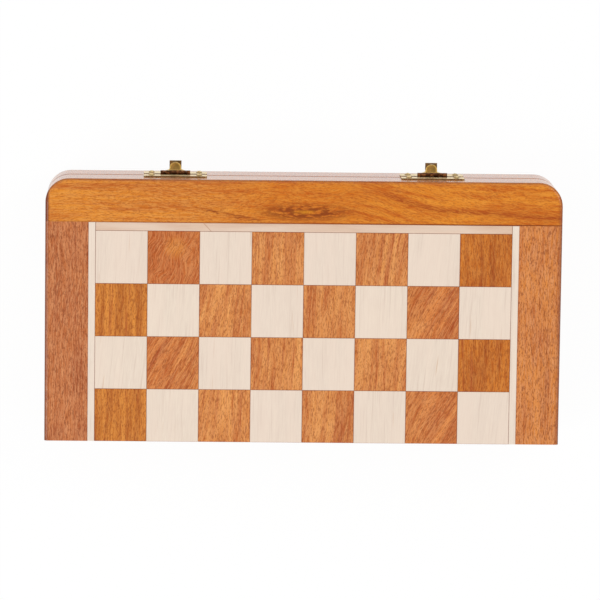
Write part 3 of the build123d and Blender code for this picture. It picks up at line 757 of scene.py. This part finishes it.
# %% Finish of the border strips
strip_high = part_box("upper_border_strips")[1]
pale_strips, shader, place = new_material("pale_strips")
x, y, z = parted(place)
from_middle = abs(x)
on_long_strip = from_middle < right
cream, parts = maple(place, 21.0, (0.88, 0.76, 0.64), (0.8, 0.67, 0.56))
pink, _ = maple(along_x(place), 23.0, (0.76, 0.55, 0.41), (0.68, 0.445, 0.315))
hair_x, hair_y, hair_turn = -57 * mm, 50 * mm, math.radians(43)
hair_fade, glue_width = (0.4 * mm, 0.1 * mm), 0.3 * mm
off_hair = abs((x - hair_x) * math.cos(hair_turn) + (y - hair_y) * math.sin(hair_turn))
hair = ramp(off_hair, *hair_fade) * (z > seam)
gap = smaller(
    abs(from_middle - right), abs(from_middle - strip_high[0]), abs(y - strip_high[1]),
    abs(y - front) + (1 - on_long_strip),
)
tint = layered(
    blend(on_long_strip, cream, pink),
    (hair * 0.5, (0.45, 0.2, 0.1)),
    (ramp(gap, 0.0, glue_width, 0.85, 0.0, "LINEAR"), glue_brown),
)
finish_wood(shader, tint, parts, 0.02)
lacquer(shader)
dress(pale_strips, "lower_border_strips", "upper_border_strips")

# %% [markdown]
# Under the veneer lie a plywood panel and a thin steel sheet, which the magnets in
# the men pull on. Plywood shows its layers as bands at its edge, each turned across
# the next. Mill steel is grey with fine rolling lines and a few darker clouds.

# %% Finish of the plywood and the steel
layer_thickness = 1.0 * mm
plywood, shader, place = new_material("plywood_panel")
parts = use(grain, {"Vector": along_x(place), "Seed": 31.0, "Waviness": 0.01})
_, _, z = parted(place)
layer = maths("PINGPONG", z / layer_thickness, 1.0)
tint = layered(
    blend(parts["Streaks"], (0.62, 0.42, 0.24), (0.76, 0.56, 0.35)),
    (ramp(layer, 0.45, 0.55, 0.0, 0.3), (0.42, 0.24, 0.12)),
    (parts["Pores"] * 0.3, (0.4, 0.24, 0.12)),
)
finish_wood(shader, tint, parts, 0.06, (0.75, 0.6))
dress(plywood, "lower_base_panel", "upper_base_panel")

steel, shader, place = new_material("mill_steel")
grey = blend(noise(place, 45.0, 3.0), (0.42, 0.43, 0.45), (0.62, 0.63, 0.65))
rolled = ramp(stretched_noise(place, 2600, 30), 0.3, 0.7, 0.3, 0.48)
fill(shader, {"Base Color": grey, "Roughness": rolled, "Metallic": 1.0})
dress(steel, "lower_steel_sheet", "upper_steel_sheet")

# %% [markdown]
# The latches, hinges and screws are stamped brass that was darkened and then rubbed:
# bright gold where a finger or the polishing wheel reaches, nearly black on the rolled
# barrel, which is patina, and darker in the recesses, which is mostly painted shade. The
# same dark goes on past the barrel over the plate beside it as painted shade, where the
# barrel's shadow falls. The mask is the distance from the barrel's own axis, with
# clouds of noise that break up its edge.

# %% Shared group: aged brass
aged, ins, end = group(
    "aged_brass", ["Vector", "Barrel Y", "Barrel Z", "Reach", "Soot and Shade"],
    ["Color", "Roughness", "Height"],
)
_, y, z = parted(ins["Vector"])
radius = length(0.0, y - ins["Barrel Y"], z - ins["Barrel Z"])
cloud = noise(ins["Vector"], 420.0, 4.0, Roughness=0.6)
cloud_reach, reach_fade = 1.6 * mm, 0.7 * mm
reached = (cloud - 0.5) * cloud_reach + radius
# Painted shade: this mask stays dark out past the barrel itself, on the plate where the barrel's
# shadow falls; on the barrel it stands for patina.
near = ramp(reached, ins["Reach"], ins["Reach"] + reach_fade, 1.0, 0.0, "LINEAR")
spots = ramp(noise(ins["Vector"], 1300.0, 3.0), 0.56, 0.72)
dark = larger(near * 0.98, spots * 0.45, ins["Soot and Shade"])
gold = blend(cloud, (0.7, 0.5, 0.2), (0.93, 0.76, 0.42))
tarnish_and_shade = blend(ramp(cloud, 0.45, 0.62), (0.05, 0.012, 0.004), (0.26, 0.09, 0.03))
scratches = stretched_noise(ins["Vector"], 5200, 500)
fill(end, {
    "Color": blend(dark, gold, tarnish_and_shade),
    "Roughness": dark * 0.22 + (scratches * 0.16 + 0.24),
    "Height": cloud * 0.6 + scratches * 0.4,
})


def brass(name, barrel_y, barrel_z, reach, soot_and_shade=None):
    """Aged brass, dark within a reach of a barrel's axis along X and where a mask of soot and
    painted shade says.
    """
    material, shader, place = new_material(name)
    inputs = {"Vector": place, "Barrel Y": barrel_y, "Barrel Z": barrel_z, "Reach": reach}
    made = use(aged, {**inputs, "Soot and Shade": soot_and_shade(place)} if soot_and_shade else inputs)
    fill(shader, {
        "Base Color": made["Color"],
        "Roughness": made["Roughness"],
        "Normal": bumps(made["Height"], 0.3, 0.05 * mm),
        "Metallic": 1.0,
    })
    return material


def axis_of(pin):
    """Y and Z of the axis of a pin that lies along X."""
    low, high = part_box(pin)
    return (0.5 * (low[i] + high[i]) for i in (1, 2))


# %% [markdown]
# Soot is dirt and dull metal that the barrel's mask doesn't reach; here it is mostly
# painted shade. Each kind of fitting has its own: painted shade on the edges of the
# plates, painted shade on the curled lip of the flap behind the tongue, painted shade
# inside the end of the tongue that leaves a painted highlight along its edge, painted
# shade in the corner at the foot of each domed head under brown clouds, and a dark ring
# where a flat screw head meets the hinge leaf.

# %% Finish of the latches
pin_y, pin_z = axis_of("left_latch_pin")
barrel_reach, screw_dome, tongue_round = 2.1 * mm, 1.1 * mm, 3.4 * mm
plate_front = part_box("upper_latch_screws")[1][1] - screw_dome
tongue_low, tongue_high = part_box("left_catch_plate")
edge_fade, lip_fade, tongue_fade = (0.05 * mm, 0.2 * mm), (1.2 * mm, 2.6 * mm), (0.6 * mm, 1.4 * mm)
edge_highlight_fade = (0.5 * mm, 1.0 * mm)


def shaded_plate_edges(place):
    """Painted shade on the edges of the stamped plates, dull brown: a ramp just behind the front
    face.
    """
    return ramp(plate_front - parted(place)[1], *edge_fade) * 0.7


def dome_shade_and_clouds(place):
    """Painted shade in the corner round a domed head: a ramp on its rise, with brown clouds over
    the head.
    """
    rise = (parted(place)[1] - plate_front) / screw_dome
    low = ramp(rise, 0.55, 0.1)
    return larger(low * 0.85, ramp(noise(place, 900.0, 2.0), 0.45, 0.65, 0.1, 0.55))


def lip_painted_shade(place):
    """The curled lip of the flap, which lies behind the tongue, is painted dark as shade: a ramp on
    the distance past the pin.
    """
    return ramp(parted(place)[1] - pin_y, *lip_fade) * 0.75


def tongue_shade_and_highlight(place):
    """The tongue is painted darker inside its rounded end, painted shade that leaves its edge
    bright as a painted highlight; the plate edges get painted shade too.

    The mask is the distance from the centre of the end's circle, on either tongue.
    """
    x, y, _ = parted(place)
    off_x = abs(x) + 0.5 * (tongue_low[0] + tongue_high[0])
    from_end = length(off_x, larger(y - (tongue_high[1] - tongue_round), 0.0))
    inside, out = ramp(tongue_round - from_end, *edge_highlight_fade), ramp(y - pin_y, *tongue_fade)
    return larger(inside * out * 0.55, shaded_plate_edges(place))


latch_brass = brass("latch_brass", pin_y, pin_z, barrel_reach, shaded_plate_edges)
flap_brass = brass("flap_brass", pin_y, pin_z, barrel_reach, lip_painted_shade)
tongue_brass = brass("tongue_brass", pin_y, pin_z, barrel_reach, tongue_shade_and_highlight)
dome_brass = brass("dome_brass", pin_y, pin_z, 0.0, dome_shade_and_clouds)
screw_brass = brass("screw_brass", pin_y, pin_z, 0.0)

# %% [markdown]
# The hinges are the same brass with a thinner pin. Their screws stand in one row.
# Folding X over about the middle of the board, and again about the middle of the
# leaf, brings all screws to one place, and one distance marks all the rings.

# %% Finish of the hinges
hinge_y, hinge_z = axis_of("left_hinge_pin")
hinge_reach, screw_head, ring_fade = 1.2 * mm, 1.9 * mm, (0.28 * mm, 0.06 * mm)
screw_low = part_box("lower_hinge_screws")[0]
leaf_low, leaf_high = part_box("left_hinge_lower_leaf")
leaf_middle = -0.5 * (leaf_high[0] + leaf_low[0])
screw_row = screw_low[1] + screw_head
screw_step = -leaf_middle - (screw_low[0] + screw_head)


def countersinks(place):
    """Dark rings where the flat screw heads meet the leaves."""
    x, y, _ = parted(place)
    around = length(abs(abs(x) - leaf_middle) - screw_step, y - screw_row)
    return ramp(abs(around - screw_head), *ring_fade) * 0.85


hinge_brass = brass("hinge_brass", hinge_y, hinge_z, hinge_reach, countersinks)
for hand in ("left", "right"):
    dress(latch_brass, hand + "_hasp_plate", hand + "_latch_pin")
    dress(flap_brass, hand + "_latch_flap")
    dress(tongue_brass, hand + "_catch_plate")
    dress(hinge_brass, *(hand + "_hinge_" + piece for piece in ("lower_leaf", "upper_leaf", "pin")))
for half in ("lower", "upper"):
    dress(dome_brass, half + "_latch_screws")
    dress(screw_brass, half + "_hinge_screws")

# %% [markdown]
# The men are turned on a lathe, boxwood for one side and rosewood for the other, and
# rubbed with satin lacquer. Each lies in its own pocket, so the column of the pocket
# and the side of the tray pick its tone. The grain runs along the turning axis, Y.

# %% Finish of the men
officers = ("rook_1", "knight_1", "bishop_1", "queen", "king", "bishop_2", "knight_2", "rook_2")
men_pitch = (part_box("dark_rook_2")[0][0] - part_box("dark_rook_1")[0][0]) / (columns - 1)
between_rows = 13 * mm


def turned_wood(name, dark, light, pore, seed):
    """Lathe wood: tones from streaks, one shade for each man, and open pores."""
    material, shader, place = new_material(name)
    x, y, _ = parted(place)
    cell = combined(maths("FLOOR", x / men_pitch), y > between_rows, seed)
    drawn = node(place.tree, "TexWhiteNoise", {"Vector": cell}, noise_dimensions="3D")["Value"]
    parts = use(grain, {"Vector": place, "Seed": drawn + seed, "Waviness": 0.004})
    tint = layered(
        blend(parts["Streaks"], dark, light),
        (drawn * 0.35, dark),
        (parts["Fibres"] * 0.2, light),
        (parts["Pores"] * 0.5, pore),
    )
    finish_wood(shader, tint, parts, 0.03, (0.5, 0.36))
    lacquer(shader, 0.22, 0.7)
    return material


boxwood = turned_wood("boxwood_men", (0.68, 0.43, 0.2), (0.84, 0.62, 0.36), (0.5, 0.28, 0.12), 2.0)
rosewood = turned_wood(
    "rosewood_men", (0.15, 0.036, 0.014), (0.33, 0.1, 0.04), (0.04, 0.012, 0.006), 6.0
)
dress(boxwood, *("light_" + man for man in (*officers, "pawns")))
dress(rosewood, *("dark_" + man for man in (*officers, "pawns")))

# %% [markdown]
# Under each man is a nickel-plated magnet behind a disc of green felt. Felt is short
# matted wool, so it is noise at the scale of a hair, with a soft sheen and no gloss.
# The velvet of the trays uses the same idea with a brushed pile. Broad patches of both
# cloths are painted lighter and darker: painted sheen, for the light that the pile
# catches where it lies one way and not the other.

# %% Finish of the magnets, felt and velvet
nickel, shader, place = new_material("nickel_magnet")
haze = noise(place, 900.0, 3.0)
fill(shader, {
    "Base Color": blend(haze, (0.55, 0.54, 0.52), (0.72, 0.71, 0.69)),
    "Roughness": ramp(haze, 0.3, 0.7, 0.14, 0.3),
    "Metallic": 1.0,
})
dress(nickel, "dark_magnets", "light_magnets")

pile, ins, end = group("pile", ["Vector", "Dark", "Light"], ["Color", "Height"])
# Painted sheen: broad patches of the pile are painted lighter and darker; they also give the pile a
# little bump.
pile_sheen_patches = noise(ins["Vector"], 34.0, 3.0, Distortion=1.2)
hairs = noise(ins["Vector"], 2600.0, 2.0)
share = ramp(pile_sheen_patches, 0.35, 0.68) * 0.6 + hairs * 0.4
fill(end, {"Color": blend(share, ins["Dark"], ins["Light"]), "Height": pile_sheen_patches * 0.3 + hairs})


def cloth(name, dark, light, depth):
    """A short-pile cloth: tones with patches of painted sheen, a hair-scale bump and a sheen."""
    material, shader, place = new_material(name)
    made = use(pile, {"Vector": place, "Dark": dark, "Light": light})
    fill(shader, {
        "Base Color": made["Color"],
        "Normal": bumps(made["Height"], 0.6, depth * mm),
        "Roughness": 0.95,
        "Specular IOR Level": 0.1,
        "Sheen Weight": 0.35,
        "Sheen Roughness": 0.4,
        "Sheen Tint": (0.35, 0.7, 0.45),
    })
    return material


felt = cloth("green_felt", (0.012, 0.085, 0.035), (0.03, 0.16, 0.07), 0.15)
velvet = cloth("green_velvet", (0.006, 0.055, 0.026), (0.022, 0.125, 0.062), 0.12)
dress(felt, "dark_felts", "light_felts")

# %% [markdown]
# Each tray is lined with a velvet-covered form that has one round-bottomed pocket for
# every man. On the real set a soft foam form is pressed into velvet, so its walls
# lean a little, every edge is rolled over, and the lands between pockets are slightly
# crowned. A pocket is a middle, a start, an end, a radius and the height of its axis.

# %% Pockets in the trays
form_low, form_high = (np.array(corner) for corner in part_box("lower_tray_insert"))
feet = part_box("dark_felts")
pocket_gap, end_gap, rolled = 0.3 * mm, 0.6 * mm, 1.3 * mm
crown_drop, crown_rise = 0.35 * mm, 0.3 * mm
pawn_low, pawn_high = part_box("dark_pawns")
pawn_radius, pawn_axis = 0.5 * (pawn_high[2] - pawn_low[2]), 0.5 * (pawn_low[2] + pawn_high[2])
pockets = []
for officer in officers:
    low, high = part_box("dark_" + officer)
    middle_x, axis = 0.5 * (low[0] + high[0]), 0.5 * (low[2] + high[2])
    radius = 0.5 * (high[0] - low[0]) + pocket_gap
    pockets.append((middle_x, feet[0][1] - end_gap, high[1] + end_gap, radius, axis))
    start, stop = pawn_low[1] - end_gap, feet[1][1] + end_gap
    pockets.append((middle_x, start, stop, pawn_radius + pocket_gap, pawn_axis))
print("pockets", len(pockets))

# %% [markdown]
# The form is one height over the tray, on a grid whose lines crowd together where a
# pocket has its walls and ends, then closed with sides and a flat underside.


# %% Velvet forms in the trays
def quarter_round(distance):
    """How far a rolled edge drops: a quarter of a circle over the width of the roll."""
    roll = np.clip(1 - distance / rolled, 0, 1)
    return rolled * (1 - np.sqrt(1 - roll**2))


def form_height(x, y):
    """Height of the form over each point of the tray.

    The land is a low crown of cosines. Outside a pocket the edge rolls down as a
    quarter of a circle with the distance from the pocket's outline. Inside, the
    floor is the lower half of a circle about the man's axis, and stays level past it.
    """
    crown = np.cos(np.pi * x / (half_length - 2 * corner_radius)) * np.cos(np.pi * y / half_width)
    land = form_high[2] - crown_drop + crown_rise * np.abs(crown)
    to_side = np.minimum(
        np.minimum(x - form_low[0], form_high[0] - x), np.minimum(y - form_low[1], form_high[1] - y)
    )
    height = land - quarter_round(to_side)
    for middle_x, start, stop, radius, axis in pockets:
        across = np.abs(x - middle_x)
        past_end = np.maximum(np.maximum(start - y, y - stop), 0)
        beyond = np.hypot(np.maximum(across - radius, 0), past_end)
        height = np.minimum(height, land - quarter_round(beyond))
        trough = axis - np.sqrt(np.maximum(radius**2 - across**2, 0))
        inside = (across <= radius) & (y >= start) & (y <= stop)
        height = np.where(inside, np.minimum(height, trough), height)
    return height


def crowded(low, high, edges, coarse, fine=0.5 * mm, near=1.6 * mm):
    """Sample lines from low to high: fine steps near the edges, coarse between."""
    steps = np.arange(low, high, fine)
    distance = np.min(np.abs(steps[:, None] - np.array(edges)[None, :]), axis=1)
    kept = (distance < near) | (np.arange(len(steps)) % round(coarse / fine) == 0)
    return np.unique(np.concatenate([steps[kept], edges, [low, high]]).round(7))


wall = 0.02 * mm
walls = sorted({
    round(middle_x + side * (radius + offset), 7)
    for middle_x, _, _, radius, _ in pockets for side in (-1, 1) for offset in (0.0, wall)
})
ends = sorted({
    round(place, 7)
    for _, start, stop, _, _ in pockets for place in (start, start - wall, stop, stop + wall)
})
outer_x = [form_low[0] + rolled / 2, form_high[0] - rolled / 2]
outer_y = [form_low[1] + rolled / 2, form_high[1] - rolled / 2]
lines_x = crowded(form_low[0], form_high[0], walls + outer_x, 1.5 * mm)
lines_y = crowded(form_low[1], form_high[1], ends + outer_y, 3.0 * mm)


def velvet_form(name, replaced, body, mirrored):
    """The form's top, its sides straight down and its flat underside, as one mesh."""
    x, y = np.meshgrid(lines_x, lines_y, indexing="ij")
    top = np.stack([x, y, form_height(x, y)], axis=-1)
    number = np.arange(x.size).reshape(x.shape)
    border = np.concatenate(
        [number[:-1, 0], number[-1, :-1], number[:0:-1, -1], number[0, :0:-1]]
    )
    under = top.reshape(-1, 3)[border].copy()
    under[:, 2] = form_low[2]
    below = x.size + np.arange(len(border))
    sides = np.stack([border, np.roll(border, -1), np.roll(below, -1), below], axis=-1)
    points = np.concatenate([top.reshape(-1, 3), under])
    if mirrored:
        points[:, 2] = 2 * seam - points[:, 2]
    faces = grid_faces(*x.shape).tolist() + sides.tolist() + [below.tolist()]
    made = new_piece(name, points, faces, velvet)
    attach(made, body)
    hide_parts(replaced)


velvet_form("lower_velvet_form", "lower_tray_insert", "lower_half", False)
velvet_form("upper_velvet_form", "upper_tray_insert", "upper_half", True)

# %% [markdown]
# The knight is the one man that a lathe cannot finish: its foot is turned, and the
# horse is carved. Here the foot is an outline spun about the man's axis, in
# millimetres: the socket of the magnet, the felt's rebate, a round bead, a hollow
# sweep up to the neck, and a thin collar.


# %% Turned foot of the knights
def spun(outline, steps):
    """Turns an outline of (radius, height) points about the axis, as a grid.

    A point is (radius times cosine, radius times sine, height) of the turn.
    """
    turn, radius = np.meshgrid(np.linspace(0, 2 * math.pi, steps), outline[:, 0], indexing="xy")
    height = np.broadcast_to(outline[:, 1:2], radius.shape)
    return np.stack([radius * np.cos(turn), radius * np.sin(turn), height], axis=-1)


knight_low, knight_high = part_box("dark_knight_1")
foot = 0.5 * (knight_high[0] - knight_low[0]) / mm
felt_thickness, magnet_radius, magnet_height, chamfer = 0.8, 4.0, 3.0, 0.3
knight_height = (knight_high[1] - feet[0][1]) / mm
neck = 0.62 * foot
neck_height = 0.26 * knight_height
neck_low = neck_height + 0.16 * foot
socket_top = felt_thickness + magnet_height
sweep = np.linspace(0, 1, 16)[:, None]
sweep_ends = np.array([
    [0.8 * foot, felt_thickness + 0.58 * foot], [0.5 * foot, felt_thickness + 0.72 * foot],
    [neck, neck_height - 0.9 * foot], [neck, neck_height],
])
sweep_line = (
    (1 - sweep) ** 3 * sweep_ends[0] + 3 * sweep * (1 - sweep) ** 2 * sweep_ends[1]
    + 3 * sweep**2 * (1 - sweep) * sweep_ends[2] + sweep**3 * sweep_ends[3]
)
rounding = np.linspace(0, 1, 7)[:, None] * math.pi / 2
bead = np.hstack([0.86 + 0.14 * np.cos(rounding), 0.2 + 0.26 * np.sin(rounding)])
outline = np.vstack([
    [[0, socket_top], [magnet_radius, socket_top], [magnet_radius, felt_thickness]],
    [[foot - chamfer, felt_thickness], [foot, felt_thickness + chamfer]],
    bead * foot + [0, felt_thickness],
    [[0.8 * foot, felt_thickness + 0.46 * foot]],
    sweep_line,
    [[neck + 0.08 * foot, neck_height + 0.1], [neck + 0.08 * foot, neck_low - chamfer]],
    [[neck + 0.04 * foot, neck_low], [0, neck_low]],
])
turn_steps = 64
turned_foot, foot_faces = spun(outline, turn_steps), grid_faces(len(outline), turn_steps)
print("foot radius", round(foot, 2), "mm, neck at", round(neck_low, 2), "mm")

# %% [markdown]
# The horse is a tube of ellipses along a line that runs up the neck and down the
# face, with a jaw, ears and eyes laid into it as smaller tubes. Few stations define
# each tube, and smooth curves fill in the rings between them.


# %% Tubes for the horse
def smooth_between(share, stations, fine):
    """Cubic curves through stations, with slopes taken from their neighbours."""
    slope = np.gradient(stations, share, axis=0)
    low = np.clip(np.searchsorted(share, fine, side="right") - 1, 0, len(share) - 2)
    step = (share[low + 1] - share[low])[:, None]
    t = (fine - share[low])[:, None] / step
    start = (2 * t**3 - 3 * t**2 + 1) * stations[low] + (t**3 - 2 * t**2 + t) * step * slope[low]
    return start + (3 * t**2 - 2 * t**3) * stations[low + 1] + (t**3 - t**2) * step * slope[low + 1]


def tube(stations, rings, sides, mane=0.0):
    """Ellipses along a line in the XZ plane, each square to the line.

    A station is (x, z, half depth, half width). Four stations carry one cubic curve,
    and more of them a chain of cubics. Behind the neck, ripples raise the skin like
    locks of a mane.
    """
    share, fine = np.linspace(0, 1, len(stations)), np.linspace(0, 1, rings)
    if len(stations) > 4:
        line = smooth_between(share, stations, fine)
    else:
        fit = np.linalg.solve(np.vander(share, increasing=True), stations)
        line = np.vander(fine, len(stations), increasing=True) @ fit
    x, z, deep, wide = line.T
    step_x, step_z = np.gradient(x), np.gradient(z)
    size = np.hypot(step_x, step_z)
    out_x, out_z = step_z / size, -step_x / size
    angle = np.linspace(0, 2 * math.pi, sides)
    locks = np.cos(2 * math.pi * (9 * fine[:, None] + 0.35 * np.abs(np.sin(angle))))
    behind = np.clip(-np.cos(angle) - 0.35, 0, 1) * np.clip(4 * (0.72 - fine[:, None]), 0, 1)
    reach = deep[:, None] * np.cos(angle) - mane * behind * (0.6 + locks)
    width = wide[:, None] * np.sin(angle) * (1 + 0.12 * behind * locks)
    skin_x, skin_z = x[:, None] + out_x[:, None] * reach, z[:, None] + out_z[:, None] * reach
    return np.stack([skin_x, width, skin_z], axis=-1)


def closed_tube(stations, rings, sides, mane=0.0, aside=0.0):
    """A tube with both ends drawn to their middles; gives points and faces."""
    points = tube(stations, rings, sides, mane)
    first, last = (np.broadcast_to(points[i].mean(axis=0), (1, *points[i].shape)) for i in (0, -1))
    points = np.concatenate([first, points, last]) + [0, aside, neck_low]
    return points.reshape(-1, 3), grid_faces(points.shape[0], points.shape[1])


def joined(shells):
    """Stacks the points and faces of several shells."""
    first, points, faces = 0, [], []
    for shell_points, shell_faces in shells:
        points.append(shell_points)
        faces += (shell_faces + first).tolist()
        first += len(shell_points)
    return np.vstack(points), faces


# %% [markdown]
# The stations below are in millimetres over the neck: x towards the nose, the height,
# half the depth and half the width of the horse there.

# %% Shape of the horse
neck_and_face = np.array([
    [0.0, -0.4, 4.9, 4.1], [-0.3, 4.5, 4.9, 3.7], [-1.0, 9.5, 4.6, 3.3], [-1.3, 14.5, 4.2, 3.0],
    [-0.9, 19.0, 3.9, 2.9], [0.6, 22.4, 3.7, 2.8], [2.5, 22.3, 3.5, 2.6], [4.0, 20.2, 3.0, 2.1],
    [5.2, 17.6, 2.45, 1.75], [6.0, 15.6, 2.3, 1.75], [6.5, 14.3, 2.0, 1.6], [6.8, 13.6, 0.05, 0.05],
])
jaw = np.array(
    [[1.5, 17.2, 0.1, 0.1], [1.9, 18.4, 2.2, 2.7], [2.7, 20.2, 2.3, 2.8], [3.6, 21.6, 0.1, 0.1]]
)
ear = np.array(
    [[0.6, 24.0, 1.2, 0.7], [0.2, 26.2, 1.35, 0.9], [0.1, 28.0, 0.95, 0.7], [0.4, 29.4, 0.05, 0.05]]
)
eye = np.array([
    [3.3, 22.2, 0.05, 0.05], [3.5, 22.6, 0.6, 0.7],
    [3.65, 22.95, 0.62, 0.72], [3.9, 23.5, 0.05, 0.05],
])
mane_rise, ear_aside, eye_aside = 0.55, 1.45, 2.25
horse = joined([
    closed_tube(neck_and_face, 90, 49, mane_rise),
    closed_tube(jaw, 14, 25),
    *(closed_tube(ear, 16, 17, aside=side * ear_aside) for side in (-1, 1)),
    *(closed_tube(eye, 10, 17, aside=side * eye_aside) for side in (-1, 1)),
])
print("horse points", len(horse[0]))

# %% [markdown]
# A voxel remesh melts the tubes into one skin, as a file would, and a few rounds of
# smoothing take the steps out of it. The skin and the foot become one mesh, which is
# laid on its side in the pocket of the knight that it stands for.

# %% Carved knights
voxel, soft_share, soft_rounds, sharp_angle = 0.28 * mm, 0.5, 3, math.radians(40)


def lie_down(upright, name):
    """Lays a man on its side in the pocket of a CAD node: its height runs along Y."""
    low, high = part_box(name)
    middle_x, axis = 0.5 * (low[0] + high[0]), 0.5 * (low[2] + high[2])
    side_sign = 1 if axis < seam else -1
    x, y, z = (upright.reshape(-1, 3) * mm).T
    return np.stack([middle_x + x, feet[0][1] + z, axis + side_sign * y], axis=-1)


def melted(made):
    """The skin of a piece after a voxel remesh and a little smoothing."""
    melt = made.modifiers.new("melt", "REMESH")
    melt.mode, melt.voxel_size, melt.use_smooth_shade = "VOXEL", voxel, True
    soften = made.modifiers.new("soften", "SMOOTH")
    soften.factor, soften.iterations = soft_share, soft_rounds
    depsgraph = bpy.context.evaluated_depsgraph_get()
    skin = bpy.data.meshes.new_from_object(made.evaluated_get(depsgraph))
    made.modifiers.clear()
    return skin


def carve(name, material, body):
    """One knight: the remeshed horse and the spun foot, joined as one piece."""
    points, faces = horse
    made = new_piece(name + "_carved", lie_down(points, name), faces, material)
    skin, base_mesh = melted(made), bpy.data.meshes.new(name + "_foot")
    base = bmesh.new()
    corners = [base.verts.new(point) for point in lie_down(turned_foot, name).tolist()]
    for face in foot_faces.tolist():
        base.faces.new([corners[i] for i in face])
    clean(base)
    base.to_mesh(base_mesh)
    base.free()
    work = bmesh.new()
    work.from_mesh(skin)
    work.from_mesh(base_mesh)
    work.to_mesh(skin)
    work.free()
    made.data = skin
    skin.materials.clear()
    skin.materials.append(material)
    skin.shade_smooth()
    skin.set_sharp_from_angle(angle=sharp_angle)
    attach(made, body)
    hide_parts(name)
    print(made.name, "has", len(skin.polygons), "faces")


for number in ("1", "2"):
    carve("dark_knight_" + number, rosewood, "lower_half")
    carve("light_knight_" + number, boxwood, "upper_half")

# %% [markdown]
# Finishes must not change the size of the object.

# %% Finish
print("the set is dressed")
